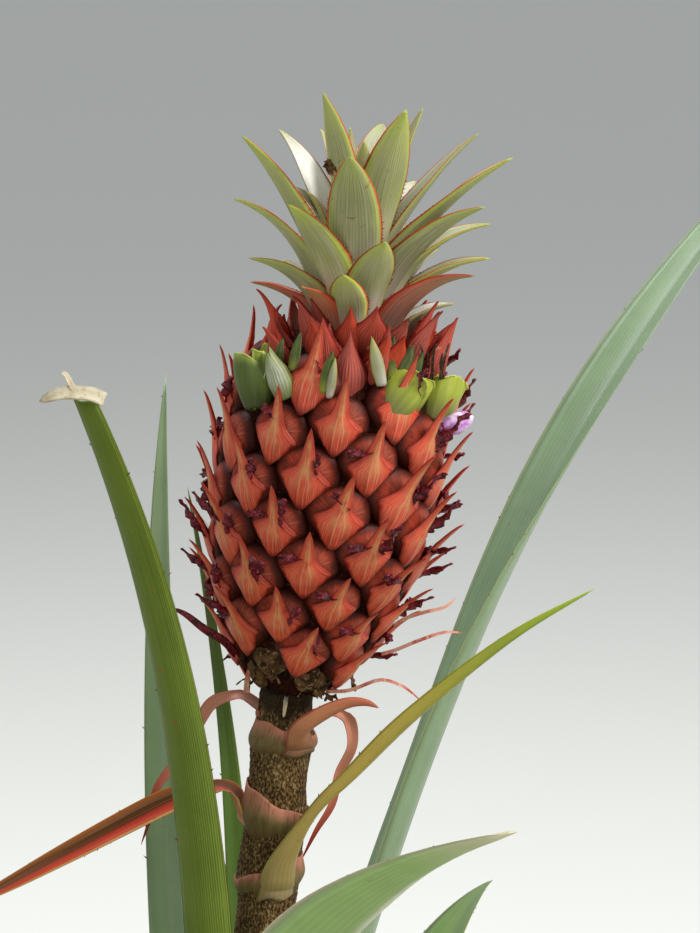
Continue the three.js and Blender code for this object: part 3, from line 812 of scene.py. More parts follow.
def spine_growth() -> Growth:
    """The tree that stands small hooked spines along margins."""
    growth = Growth("margin spines", {"Spacing": "Float", "Length": "Float", "Share": "Float",
                                      "Seed": "Int", "Finish": "Material"})
    tree = growth.tree
    curve = tree.node("GeometryNodeMeshToCurve", None, {0: growth.input("Geometry")})
    points = tree.node("GeometryNodeCurveToPoints", {"mode": "LENGTH"}, {
        "Curve": curve, "Length": growth.input("Spacing")})
    strength, tangent = tree.named("strength"), points.other("Tangent")
    ahead = tree.named("outward", "FLOAT_VECTOR") + tangent * 0.9
    turn = tree.node("FunctionNodeAxesToRotation", {"primary_axis": "Z", "secondary_axis": "X"}, {
        0: ahead, 1: tangent})
    spine = tree.node("GeometryNodeMeshCone", None, {
        "Vertices": 5, "Radius Bottom": 0.22, "Radius Top": 0.0, "Depth": 1.0})
    seed = growth.input("Seed")
    size = growth.input("Length") * strength * tree.random(0.6, 1.2, seed)
    chosen = tree.maths("LESS_THAN", tree.random(0.0, 1.0, seed + 1), growth.input("Share") * strength)
    growth.close(tree.node("GeometryNodeInstanceOnPoints", None, {
        "Points": points, "Selection": chosen, "Instance": spine, "Rotation": turn, "Scale": size}))
    return growth


@dataclass
class Blade:
    """One leaf blade along a line, channelled above and keeled below."""

    line: Array
    side: Array
    upper: Array
    width: Array
    trough: Array
    thick: Array
    tint: float = 0.5
    columns: int = 9
    pointed: bool = True
    fold: float = 1.5
    ragged: Array | None = None

    def roll(self, degrees: Array) -> "Blade":
        """Turns the blade about its own line, by an angle for each station."""
        angle = np.radians(degrees)[:, None]
        side = self.side * np.cos(angle) + self.upper * np.sin(angle)
        self.upper = self.upper * np.cos(angle) - self.side * np.sin(angle)
        self.side = side
        return self

    def set_down(self, degrees: float, seat: Array) -> "Blade":
        """Leans the blade as its carrier leans, and sets it down on a seat."""
        self.line = lean(self.line, degrees, seat)
        self.side, self.upper = (lean(way, degrees, np.zeros(3)) for way in (self.side, self.upper))
        return self

    def rings(self) -> Array:
        """The closed sections of the blade, upper side first."""
        across = np.linspace(-1, 1, self.columns)
        half = (self.width / 2)[:, None]
        rise = (self.trough * self.width)[:, None] * np.abs(across) ** self.fold
        top = (self.line[:, None] + self.side[:, None] * (half * across)[..., None]
               + self.upper[:, None] * rise[..., None])
        if self.ragged is not None:
            t = np.linspace(0, 1, len(self.line))
            back = self.ragged[None] * smooth(t, 0.45, 1)[:, None]
            top -= unit(np.gradient(self.line, axis=0))[:, None] * back[..., None]
        body = self.thick[:, None] * (1 - 0.8 * np.abs(across) ** 3)
        return doubled(top, top - self.upper[:, None] * body[..., None])

    def build(self, skin: Skin, edges: Edges | None = None, strength: Any = 0.0,
              rings: Array | None = None) -> None:
        """Adds the blade to a skin, and its margins to the edges that carry spines.

        Args:
            skin: The skin.
            edges: Where its margins go, if it has spines.
            strength: How strong its spines are, for all or for each station.
            rings: Its sections, where they aren't its own.
        """
        rings = self.rings() if rings is None else rings
        skin.leaf(rings, self.columns, self.tint, self.pointed)
        if edges is not None:
            count = len(self.line)
            edges.add(rings[-count:, 0], -self.side, strength)
            edges.add(rings[-count:, self.columns - 1], self.side, strength)


def ribbon(knots: Array, wide: float, faces: Array) -> Blade:
    """A small thin blade through knots that faces one way and narrows to its tip."""
    line = even_line(knots, 16)
    t = np.linspace(0, 1, 16)
    tangent = unit(np.gradient(line, axis=0))
    side = unit(np.cross(tangent, faces))
    full = wide * (1 - t ** 4) ** 0.6 + 0.3
    return Blade(line, side, np.cross(side, tangent), full, 0.2 + 0 * t, 0.5 + 0 * t,
                 pointed=False, columns=5)


def ribbons(name: str, finish: Kind, slot: str, faces: tuple, *strands: tuple) -> None:
    """Makes a piece of ribbons.

    Args:
        name: The piece's name.
        finish: Its finish.
        slot: Passed on to keep.
        faces: The way that its upper sides face.
        strands: For each ribbon its width and its knots.
    """
    skin = Skin()
    for wide, knots in strands:
        ribbon(np.array(knots, float), wide, np.array(faces)).build(skin)
    keep(skin.piece(name, finish), slot)


@dataclass
class Stem:
    """Trunk and peduncle: their sizes, their rule and their skins."""

    height: float = 262
    foot_radius: float = 34
    waist_radius: float = 25
    belly_radius: float = 28
    top_radius: float = 11.5
    waist_at: float = 42
    belly_at: float = 140
    lean: float = 7.5
    lean_power: float = 3.5
    stalk_top: float = 456
    stalk_radius: float = 10
    neck_radius: float = 8.6
    stalk_lean: float = 5.7
    collars: tuple[float, ...] = (392, 414, 438)
    sides: int = 96

    def trunk_radius(self, z: Any) -> Any:
        """The trunk's radius at a height."""
        low = np.clip(z / self.waist_at, 0, 1)
        flare = blend(self.foot_radius, self.waist_radius, np.sin(low * np.pi / 2))
        belly = blend(self.waist_radius, self.belly_radius, smooth(z, self.waist_at, self.belly_at))
        share = np.clip((z - self.belly_at) / (self.height - self.belly_at), 0, 1)
        upper = blend(self.belly_radius, self.top_radius, share ** 1.8)
        return np.where(z < self.waist_at, flare, np.where(z < self.belly_at, belly, upper))

    def trunk_x(self, z: Any) -> Any:
        """How far the trunk's middle leans over at a height."""
        return self.lean * (z / self.height) ** self.lean_power

    def stalk_x(self, z: Any) -> Any:
        """How far the stalk's middle leans over at a height."""
        return self.lean + (z - self.height) * math.tan(math.radians(self.stalk_lean))

    def collar(self, z: Any) -> Any:
        """How much of a collar a height is in, from 0 to 1."""
        return sum(np.exp(-(((z - at) / 4) ** 2)) for at in self.collars)

    def stalk_radius_at(self, z: Any) -> Any:
        """The stalk's radius at a height."""
        foot = blend(self.top_radius, self.stalk_radius, smooth(z, self.height, self.height + 60))
        neck = smooth(z, self.stalk_top - 22, self.stalk_top - 6)
        return blend(foot, self.neck_radius, neck) + 1.1 * self.collar(z)

    def limb(self, node: str, finish: Kind, levels: Array, x: Array, radius: Array, tint: Any) -> None:
        """Makes the round skin that stands for a node: level rings, with a radius for each point."""
        turn = circle(self.sides)
        rings = spread(x + radius * np.cos(turn), radius * np.sin(turn), levels)
        flow = spread((turn / (2 * np.pi))[None], np.linspace(0, 1, len(levels))[:, None])
        name = "trunk_skin" if finish is Kind.TRUNK else "stalk_skin"
        keep(Skin().tube(rings, flow, tint).piece(name, finish), node, node)

    def build(self) -> None:
        """Builds the trunk's bark, with the scars of old leaves in a spiral, and the stalk's skin, whose
        tint marks the painted shadow under the fruit.
        """
        turn = circle(self.sides)[None]
        z = np.linspace(0, self.height, 150)[:, None]
        scar = np.exp(-(((z / 9 + turn * 2 / (2 * np.pi)) % 1 - 0.5) / 0.16) ** 2) * 1.1
        ribs = 0.35 * np.sin(turn * 23 + z * 0.05) + 0.3 * np.sin(turn * 41 - z * 0.11)
        radius = self.trunk_radius(z) - 1 + scar + ribs * (1 - scar)
        self.limb("trunk", Kind.TRUNK, z, self.trunk_x(z), radius, 0.5)
        z = np.linspace(self.height + CLEAR, self.stalk_top, 260)[:, None]
        wave = 0.35 * np.sin(turn * 2 + z * 0.13) + 0.25 * np.sin(turn * 5 - z * 0.21)
        bumps = 0.12 * np.sin(turn * 19 + z * 0.9) + 0.1 * np.sin(turn * 31 - z * 1.7)
        radius = self.stalk_radius_at(z) - 0.5 * self.collar(z) + wave + bumps
        # Tint: share of the painted shadow at the stalk's top, under the fruit.
        tint = 0.85 * smooth(z + 2 * np.sin(turn * 3) + np.sin(turn * 7), 446, 451)
        self.limb("peduncle", Kind.STALK, z, self.stalk_x(z), radius, tint)

    def seat(self, z: float, azimuth: float, off: float, on_trunk: bool) -> Array:
        """A point just off the stem's skin; azimuth runs from +X towards +Y."""
        x, radius = ((self.trunk_x(z), self.trunk_radius(z)) if on_trunk
                     else (self.stalk_x(z), self.stalk_radius_at(z)))
        out, turn = float(radius) + CLEAR + off, math.radians(azimuth)
        return np.array([x + out * math.cos(turn), out * math.sin(turn), z])


@dataclass
class Rosette:
    """The sword leaves round the trunk, on a golden spiral."""

    stem: Stem
    leaves: int = 34
    first_azimuth: float = -47
    lowest: float = 26
    highest: float = 244
    stations: int = 44
    rise: tuple[float, float] = (75, 5)
    bend: tuple[float, float] = (28, 40)
    lengths: tuple[float, float, float] = (370, 570, 400)
    width: float = 41
    slenderness: float = 95
    named: dict[int, dict[str, Any]] = field(default_factory=lambda: {
        22: {"azimuth": 90, "length": 330},
        26: {"azimuth": -89.5, "rise": 25.4, "bend": 41.4, "sweep": 34.8, "length": 393, "width": 44,
             "finish": Kind.FRONT, "blunt": 2.4, "twist": 40},
        27: {"azimuth": 60.6, "rise": 26, "bend": 28.5, "sweep": -23.5, "length": 540, "width": 33,
             "finish": Kind.PALE, "twist": -50, "blunt": 1.5},
        29: {"rise": 42, "bend": 50},
        30: {"azimuth": 120.8, "rise": 10.4, "bend": 6.8, "sweep": -40.8, "length": 334, "width": 15,
             "finish": Kind.PALE},
        31: {"azimuth": -95.2, "rise": 2, "bend": 26.3, "sweep": -36.5, "length": 347, "width": 17.8,
             "cut": 10.8, "finish": Kind.CUT},
        32: {"rise": 5, "bend": 12, "length": 120, "width": 18},
        33: {"azimuth": 75.7, "rise": 6.4, "bend": 4, "sweep": 83.7, "length": 275, "width": 11}})
    flap: tuple = (
        (4.4, ((-26.5, -88, 567), (-31, -89, 569), (-39, -89.5, 569.3), (-46, -89, 567))),
        (1.7, ((-34.8, -88.5, 569.5), (-36.5, -88.5, 572), (-38, -88.5, 575), (-39.6, -88.5, 575.4))))

    def sizes(self, turn: int) -> dict[str, Any]:
        """The sizes and the finish of one leaf: those of the spiral, then its own."""
        u = turn / (self.leaves - 1)
        hump = math.sin(math.pi * (0.12 + 0.8 * u))
        outside, middle, inside = self.lengths
        return {
            "azimuth": self.first_azimuth + GOLDEN_ANGLE * turn, "sweep": 0.0, "cut": 0.0,
            "finish": Kind.ROSETTE, "twist": 0.0, "blunt": 1.0,
            "z": blend(self.lowest, self.highest, u),
            "rise": blend(self.rise[1], self.rise[0], 1 - u ** 2.5), "bend": blend(*self.bend, u),
            "length": blend(blend(outside, inside, u), middle, hump),
            "width": self.width * blend(0.8, 1, hump), **self.named.get(turn, {})}

    def blade(self, turn: int, rng: np.random.Generator) -> Blade:
        """The blade of one leaf."""
        leaf = self.sizes(turn)
        off = leaf["length"] / self.slenderness / 2 * math.cos(math.radians(leaf["rise"]))
        t = np.linspace(0, 1, self.stations + 1)
        lift = np.radians(leaf["rise"] + leaf["bend"] * t ** 1.5)
        course = np.radians(leaf["azimuth"] + leaf["sweep"] * t)
        half = (t[1:] + t[:-1]) / 2
        tilt, way = (np.interp(half, t, lift), np.interp(half, t, course))
        steps = spread(np.sin(tilt) * np.cos(way), np.sin(tilt) * np.sin(way), np.cos(tilt))
        walked = np.concatenate([np.zeros((1, 3)), np.cumsum(steps, axis=0)])
        foot = self.stem.seat(leaf["z"], leaf["azimuth"], off, True)
        line = foot + walked * leaf["length"] / self.stations
        side = spread(-np.sin(course), np.cos(course), 0 * course)
        upper = spread(-np.cos(lift) * np.cos(course), -np.cos(lift) * np.sin(course), np.sin(lift))
        neck = blend(0.85, 1, smooth(t, 0, 0.2))
        full = blend(leaf["width"], leaf["cut"], t ** 3) if leaf["cut"] else leaf["width"] * (
            1 - t ** (2.6 * leaf["blunt"])) ** 0.85
        trough = blend(0.16, 0.24, smooth(t, 0, 0.3)) * blend(1, 0.6, smooth(t, 0.6, 1))
        made = Blade(line, side, upper, full * neck, trough, blend(1.8, 0.7, t ** 0.5), rng.uniform(0, 1),
                     pointed=not leaf["cut"], fold=1.35)
        turned = rng.uniform(-22, 22) * t ** 1.5
        return made.roll(leaf["twist"] * smooth(t, 0.8, 0.38) if turn in self.named else turned)

    def build(self) -> None:
        """Builds the leaves, their spines, and the dry flap on the cut one."""
        rng = np.random.default_rng(5)
        edges = Edges()
        skins = {kind: Skin() for kind in (Kind.ROSETTE, Kind.CUT, Kind.PALE, Kind.FRONT)}
        nodes: dict[Kind, list[str]] = {kind: [] for kind in skins}
        along = np.linspace(0, 1, self.stations + 1)
        strength = smooth(along, 0.02, 0.1) * blend(0.9, 0.5, along)
        for turn in range(self.leaves):
            kind = self.sizes(turn)["finish"]
            self.blade(turn, rng).build(skins[kind], edges, strength)
            nodes[kind].append(f"leaf_{turn + 1:02d}")
        for kind, skin in skins.items():
            keep(skin.piece(f"rosette_{kind.name.lower()}", kind), "leaf", *nodes[kind])
        edges.spines("rosette_spines", "leaf", spacing=9, length=1.8, share=0.35, seed=3)
        ribbons("cut_leaf_flap", Kind.DRY, "leaf", (0.2, -0.85, 0.5), *self.flap)


@dataclass
class StalkLeaves:
    """The thin leaves of the stalk, each out of its own sheath, which wraps the stalk as a collar."""

    stem: Stem
    foot_rows: int = 12
    columns: int = 13
    sheath_columns: int = 61
    clasp: float = 34
    stout_from: float = 6
    # Each: height, azimuth, width, the way it faces, finish, drop and half angle of its foot, knots.
    leaves: dict[str, tuple] = field(default_factory=lambda: {
        "long_right": (390, -72, 8, (-0.4, 0.85, 0.35), Kind.LONG, (5, 40), (
            (26, -13.5, 401), (36, -16, 418), (48.5, -18, 431), (69, -20, 452), (100, -22, 478),
            (127.5, -22, 495))),
        "red_left": (414, 176, 10, (0, -0.75, 0.65), Kind.RED, (4, 38), (
            (8.8, 1, 420), (4.8, 1.5, 422), (-1, 2, 421), (-14, 3, 415.5), (-46.5, 4, 398),
            (-71, 5, 384.6), (-91.5, 5, 375))),
        "clasp_right": (438, -50, 9, (-0.3, 0.75, 0.6), Kind.TAN, (3, 42), (
            (32, -13.5, 444.5), (39.5, -13, 450), (46.8, -12, 453.2), (52.7, -11, 453.6),
            (57.4, -10, 452))),
        "pink_left": (449, 165, 4.4, (-0.3, -0.9, 0.3), Kind.PINK, (2, 40), (
            (10.2, 4, 453), (2, 6, 450), (-2.7, 7, 442.7), (-10.3, 8, 429.3), (-17.6, 11, 418.5),
            (-20, 12, 408), (-23.5, 12, 398))),
        "pink_right": (446, 25, 4.4, (0.5, -0.85, 0.1), Kind.PINK, (2, 40), (
            (41, 5, 447), (45.4, 6, 445.8), (47.8, 7, 442.7), (48, 8, 433.8), (43.7, 10, 424),
            (41.3, 12, 412.6), (36, 13, 403), (31, 14, 392)))})
    # Each: foot, mean rim, rise of the rim on its high side, and where that side is.
    collars: tuple = ((385, 395, 4.5, -20), (404, 419, 5.5, 178), (433.5, 443.5, 3, 200))

    def wrap(self, turn: Array, level: Array, first: Array, second: Array) -> Array:
        """Closed sections round the stalk, between two faces that lie so far off its skin."""
        skin, x = self.stem.stalk_radius_at(level), self.stem.stalk_x(level)
        return doubled(*(spread(x + (skin + off) * np.cos(turn), (skin + off) * np.sin(turn), level)
                         for off in (first, second)))

    def foot(self, z: float, azimuth: float, drop: float, angle: float, thick: float) -> Array:
        """The sections of a leaf's foot, which hugs the stalk and narrows upwards.

        Args:
            z: The height at which the leaf leaves the stalk.
            azimuth: Its direction there.
            drop: How far below that its foot begins.
            angle: Half the angle that the foot covers at its lowest.
            thick: The leaf's thickness.

        Returns:
            Rings of points, inner side first.
        """
        share = np.linspace(0, 1, self.foot_rows)[:, None]
        across = np.linspace(-1, 1, self.columns)[None]
        turn = np.radians(azimuth + across * (self.clasp + (angle - self.clasp) * (1 - share) ** 1.6))
        level = z - drop * (1 - share) + 0.8 * np.sin(across * 5 + azimuth) * (1 - share)
        out = smooth(share, 0, 0.3)
        inner = blend(-0.9, 0.15, out)
        body = thick * (1 - 0.7 * np.abs(across) ** 3) * blend(0.2, 1, out)
        return self.wrap(turn, level, inner, inner + body + 0.4 * np.sin(np.pi * share) * (1 - across ** 2))

    def build(self) -> None:
        """Builds one piece for each finish, the spines of the wider leaves, and the sheaths."""
        skins: dict[Kind, Skin] = {}
        nodes: dict[Kind, list[str]] = {}
        edges = Edges()
        t = np.linspace(0, 1, 44)
        for number, (name, (z, azimuth, width, faces, kind, foot, way)) in enumerate(self.leaves.items()):
            stout = width > self.stout_from
            thick = 1.2 if stout else 0.8
            start = self.stem.seat(z, azimuth, thick * 0.35, False)
            line = even_line(np.array([start, *way], float), len(t))
            tangent = unit(np.gradient(line, axis=0))
            angle = math.radians(azimuth)
            inward = np.array([-math.cos(angle), -math.sin(angle), 0])
            facing = blend(inward, np.array(faces), smooth(t, 0, 0.35)[:, None])
            side = unit(np.cross(facing, tangent))
            narrow = 1 - 0.38 * np.exp(-((t - 0.14) / 0.09) ** 2) if kind is Kind.RED else (
                blend(0.52, 1, smooth(t, 0.12, 0.48)) if kind is Kind.LONG else 1.0)
            full = width * narrow * blend(0.9, 1, smooth(t, 0, 0.2)) * (1 - t ** 2.6) ** 0.85
            blade = Blade(line, side, np.cross(tangent, side), full, 0.2 + 0 * t,
                          thick * (1 - 0.65 * t * t), 0.3 + 0.1 * number, self.columns, fold=1.3)
            foot = self.foot(z, azimuth, *foot, thick)
            free = smooth(t, 0.0, 0.22)[:, None, None]
            hugging = line[:, None] + (foot[-1] - foot[-1, self.columns // 2])[None]
            rings = np.concatenate([foot[:-1], blend(hugging, blade.rings(), free)])
            blade.build(skins.setdefault(kind, Skin()), edges if stout else None,
                        smooth(t, 0.1, 0.2) * (1 - t), rings)
            nodes.setdefault(kind, []).append(f"stalk_leaf_{name}")
        for kind, skin in skins.items():
            keep(skin.piece(f"stalk_leaves_{kind.name.lower()}", kind), "stalk_leaf", *nodes[kind])
        edges.spines("stalk_leaf_spines", "stalk_leaf", spacing=5, length=1.6, share=0.5, seed=8)
        skin = Skin()
        for low, rim, tilt, high_side in self.collars:
            skin.leaf(self.sheath(low, rim, tilt, high_side), self.sheath_columns, 0.4, False)
        keep(skin.piece("stalk_sheaths", Kind.SHEATH), "stalk_leaf")

    def sheath(self, low: float, rim: float, tilt: float, high_side: float) -> Array:
        """The sections of a sheath, which comes out of the stalk's skin and ends in a slanting rim.

        Args:
            low: The height at which it begins.
            rim: The mean height of its rim.
            tilt: How far the rim rises above that.
            high_side: The direction in which it does.

        Returns:
            Rings of points, outer face first.
        """
        share = np.linspace(0, 1, 20)[:, None]
        turn = np.radians(high_side + np.linspace(-178, 178, self.sheath_columns))[None]
        top = rim + tilt * np.cos(turn - math.radians(high_side)) + 0.5 * np.sin(turn * 5)
        level = blend(low + 0.8 * np.sin(turn * 3), top, share)
        bulge = (blend(-0.9, 0.7, smooth(share, 0, 0.6)) + 0.35 * np.sin(np.pi * share)
                 + 0.15 * np.sin(turn * 7))
        return self.wrap(turn, level, bulge, bulge - blend(0.9, 0.35, share))


@dataclass
class Fruit:
    """The fruit: a core darkened with painted crevice shade, and eyes on a spiral, each a dome in a beaked
    bract.
    """

    stem: Stem
    height: float = 118
    lean: float = 10.5
    belly: float = 36
    belly_at: float = 72
    below: float = 80
    above: float = 54
    foot_power: float = 0.68
    shoulder_power: float = 0.55
    eyes: int = 79
    first_eye_at: float = 2.2
    eye_step: float = 1.42
    first_azimuth: float = 78.8
    divergence: float = 137.565
    bare: tuple[int, ...] = (0, 1, 3, 6, 69, 76, 77)
    core_under: float = 2.6
    core_least: float = 8.6
    bract_outline: tuple = (
        (0, 0.05, 0.12, 0.2, 0.27, 0.33, 0.37, 0.43, 0.5, 0.58, 0.68, 0.79, 0.9, 1),
        (0.03, 0.11, 0.21, 0.31, 0.38, 0.43, 0.395, 0.28, 0.185, 0.14, 0.11, 0.08, 0.045, 0))
    bract_ridge: tuple = ((0, 0.08, 0.2, 0.33, 0.5, 0.65, 0.8, 0.92, 1),
                          (0.02, 0.1, 0.17, 0.22, 0.27, 0.33, 0.42, 0.5, 0.57))
    dome_rings: tuple[float, ...] = (1.0, 0.97, 0.9, 0.8, 0.68, 0.54, 0.4, 0.27, 0.16, 0.07, 0.0)
    # Each: finish, width, and the knots of every curl.
    curls: dict[str, tuple] = field(default_factory=lambda: {
        "dark_curl": (Kind.WITHERED, 2.6, (
            ((10, -10, 470), (5.8, -16, 476.3), (0.4, -20, 480.6), (-5.7, -22, 486.1),
             (-10.2, -22, 488.4)),)),
        "pale_curls": (Kind.WISP, 0.9, (
            ((58, -26, 474), (62.4, -30, 476.2), (70.4, -34, 480.5), (78.4, -34, 483.1), (84, -32, 482.3)),
            ((62, -24, 483), (65.6, -27, 486), (72, -30, 488.8), (78.5, -30, 490.5), (81.8, -28, 493)),
            ((39.9, -18, 459.3), (47.8, -24, 461.4), (57.2, -28, 465.8), (63.4, -28, 464.4),
             (66.7, -27, 462.2), (70.3, -26, 458.9)))),
        "thorn": (Kind.DRY, 1.2, (((26.6, -8, 455.5), (26.3, -12, 453.5), (25.8, -13.5, 449.6)),)),
        "red_stub": (Kind.WISP, 2.0, (((13.3, -7, 456), (13.7, -10, 461.4), (14.1, -12, 465.3)),))})

    def __post_init__(self) -> None:
        """Works out where the fruit sits."""
        top = self.stem.stalk_top
        self.seat = np.array([self.stem.stalk_x(top), 0, top + CLEAR])

    def radius(self, along: Any) -> Any:
        """The fruit's radius at a height on its own axis."""
        off = along - self.belly_at
        low = (1 - (np.minimum(off, 0) / self.below) ** 2) ** self.foot_power
        high = np.maximum(1 - (np.maximum(off, 0) / self.above) ** 4, 0) ** self.shoulder_power
        return self.belly * low * high

    def place(self, points: Array) -> Array:
        """Points of the fruit's own frame on the plant."""
        return lean(points, self.lean, self.seat)

    def spot(self, along: float, azimuth: float) -> tuple[Array, Array, Array, Array]:
        """A point on the skin with its side, up and outward directions."""
        out, side = compass(azimuth)
        slope = float(self.radius(along + 0.5) - self.radius(along - 0.5))
        up = unit(out * slope + np.array([0, 0, 1]))
        return out * float(self.radius(along)) + np.array([0, 0, along]), side, up, np.cross(side, up)

    def growth(self) -> Growth:
        """The tree that sets a template on every eye of the spiral."""
        numbers = ("Share", "Size", "Stand-off", "Shift", "Spread", "Bend", "Skip")
        growth = Growth("spiral of eyes", {"Template": "Object", "Eyes": "Int", "Seed": "Int",
                                           "Finish": "Material", **dict.fromkeys(numbers, "Float")})
        tree, given = growth.tree, growth.input
        seed = given("Seed")
        index = tree.node("GeometryNodeInputIndex")
        along = index * self.eye_step + self.first_eye_at
        turn = index * -math.radians(self.divergence) + math.radians(self.first_azimuth)
        radius = self.radius_nodes(tree, along)
        slope = self.radius_nodes(tree, along + 0.5) - self.radius_nodes(tree, along - 0.5)
        upright = 1 - tree.step(along, 50.0, 5.0) * 0.5
        sine, cosine = tree.maths("SINE", turn), tree.maths("COSINE", turn)
        out, side = tree.vector(sine, cosine * -1, 0.0), tree.vector(cosine, sine, 0.0)
        up = tree.maths("NORMALIZE", out * (slope * upright) + (0.0, 0.0, 1.0), (0.0, 0.0, 0.0))
        proud = tree.maths("CROSS_PRODUCT", side, up)
        stretch = tree.maths("SQRT", slope * slope + 1)
        size = tree.maths("SQRT", radius * stretch * (math.tau * self.eye_step))
        size = size * (1 + tree.step(along, 40.0, 0.0) * 0.16)
        place = (out * radius + tree.vector(0.0, 0.0, along) + proud * given("Stand-off")
                 + up * (size * given("Shift")))
        line = tree.node("GeometryNodeMeshLine", {"mode": "OFFSET"}, {
            "Count": given("Eyes"), "Offset": (0.0, 0.0, 0.0)})
        points = tree.node("GeometryNodeSetPosition", None, {"Geometry": line, "Position": place})
        skew = side * (tree.random(-1.0, 1.0, seed) * given("Spread"))
        rotation = tree.node("FunctionNodeAxesToRotation", {"primary_axis": "Z", "secondary_axis": "Y"}, {
            0: proud, 1: up + skew})
        template = tree.node("GeometryNodeObjectInfo", None, {"Object": given("Template")}, "Geometry")
        chosen = tree.maths("LESS_THAN", tree.random(0.0, 1.0, seed + 1), given("Share"))
        for number in self.bare:
            other = tree.maths("GREATER_THAN", tree.maths("ABSOLUTE", index - number), 0.5)
            chosen = chosen * tree.maths("MAXIMUM", other, 1 - given("Skip"))
        eyes = tree.node("GeometryNodeInstanceOnPoints", None, {
            "Points": points, "Selection": chosen, "Instance": template, "Rotation": rotation,
            "Scale": size * given("Size") * tree.random(0.94, 1.08, seed + 2)})
        eyes = tree.node("GeometryNodeStoreNamedAttribute", {"data_type": "FLOAT", "domain": "INSTANCE"}, {
            "Geometry": eyes, "Name": "tint", "Value": tree.random(0.0, 1.0, seed + 3)})
        reach = tree.named("reach")
        chance = tree.node("ShaderNodeTexWhiteNoise", {"noise_dimensions": "1D"}, {
            "W": tree.named("tint") * 977}, "Color")
        bend = (chance - (0.5, 0.5, 0.5)) * (reach * reach * given("Bend"))
        growth.close(eyes, bend, {
            "Translation": tuple(self.seat * MM), "Rotation": (0.0, math.radians(self.lean), 0.0),
            "Scale": (MM, MM, MM)})
        return growth

    def radius_nodes(self, tree: Tree, along: Value) -> Value:
        """The fruit's radius as nodes."""
        off = along - self.belly_at
        low = tree.maths("MINIMUM", off, 0.0) / self.below
        high = tree.maths("MAXIMUM", off, 0.0) / self.above
        return (1 - low * low) ** self.foot_power * (1 - high ** 4) ** self.shoulder_power * self.belly

    def share_out(self, x: Array, y: Array) -> Array:
        """How far out in a dome's outline a point is: round above, wedge-shaped below, 1 at the rim."""
        power = np.where(y < 0, 1.35, 2.3)
        down = np.where(y < 0, 0.47, 0.56)
        return ((np.abs(x) / 0.55) ** power + (np.abs(y) / down) ** power) ** (1 / power)

    def mound(self, x: Array, y: Array) -> Array:
        """How high a fruitlet's dome stands over the skin, all in eye widths."""
        return 0.21 * np.maximum(1 - self.share_out(x, y) ** 3, 0) ** 0.7 - 0.06 - 0.1 * x * x

    def bract(self) -> bpy.types.Object:
        """The bract's template, one eye wide: a wedge round the dome's lower half, with a beak above."""
        rows, columns = 26, 13
        v, u = np.linspace(0, 1, rows)[:, None], np.linspace(-1, 1, columns)[None]
        half = np.interp(v, *self.bract_outline)
        half = half * (1 + 0.03 * np.sin(v * 23) + 0.02 * np.sin(v * 61))
        x = half * u
        y = -0.56 + 1.56 * v + 0.05 * np.exp(-((v - 0.33) / 0.12) ** 2) * u * u
        ridge = np.interp(v, *self.bract_ridge)
        on_dome = self.mound(x, y) + 0.016
        rim = np.maximum(self.mound(half, y) + 0.014, 0.02 - 0.15 * half)
        rim = np.maximum(rim, (ridge - 0.6 * half) * smooth(v, 0.33, 0.48))
        out = rim + (ridge - rim) * (1 - np.abs(u) ** blend(2.0, 1.15, smooth(v, 0.12, 0.5)))
        out = np.where(v < 0.75, np.maximum(out, on_dome), out)
        out += 0.006 * np.sin(u * 19) * np.sin(np.pi * v)
        top = spread(x, y, out)
        fan = u * half / np.where(v < 0.33, 0.55, np.maximum(half, 0.001))
        flow, margin = spread(doubled(fan, fan) / 2 + 0.5, v), np.abs(doubled(u, u)[0])
        rings = doubled(top, top - np.array([0, 0, 0.03]))
        return Skin().tube(rings, flow, 0.5, margin, True).piece("bract_template", reach=True, scale=1.0)

    def dome(self) -> bpy.types.Object:
        """The dome's template: a flat mound with three folds round a dimple."""
        turn = circle(30)[None]
        rim = np.array(self.dome_rings)[:, None]
        far = rim / self.share_out(np.cos(turn), np.sin(turn))
        x, y = far * np.cos(turn), far * np.sin(turn)
        folds = 0.012 * np.cos(turn * 3 + 0.5) * np.sin(np.pi * np.clip(rim * 1.6, 0, 1))
        dimple = -0.03 * np.exp(-((rim / 0.12) ** 2)) + 0.012 * np.exp(-(((rim - 0.27) / 0.09) ** 2))
        rings = spread(x, y, self.mound(x, y) + folds + dimple - 0.1 * (rim == 1.0))
        flow = spread(turn / (2 * np.pi), rim)
        return Skin().tube(rings, flow, pointed=True).piece("dome_template", scale=1.0)

    def flower(self, length: float, wide: float, rise: float) -> bpy.types.Object:
        """The template of a withered flower: a flat twisted tube that lies up the fruit.

        Args:
            length: How far it reaches up, in eye widths.
            wide: Half its width.
            rise: How far it stands out.

        Returns:
            The template.
        """
        rng = np.random.default_rng(17)
        t, turn = np.linspace(0, 1, 18)[:, None], circle(8)[None]
        lumps = 1 + rng.uniform(-0.4, 0.4, (18, 8))
        zigzag = wide * 0.7 * np.repeat(rng.uniform(-1, 1, 9), 2)[:, None]
        flat, deep = wide * (1 - 0.7 * t ** 3) * lumps * np.cos(turn), wide * 0.25 * lumps * np.sin(turn)
        cos, sin = np.cos(4 * t), np.sin(4 * t)
        rings = spread(flat * cos - deep * sin + 0.05 * np.sin(t * 6) + zigzag, 0.12 + length * t,
                       0.13 + rise * t ** 0.8 + flat * sin + deep * cos + zigzag * 0.5)
        flow = spread(turn / (2 * np.pi), t)
        return Skin().tube(rings, flow).piece("flower_template", reach=True, scale=1.0)

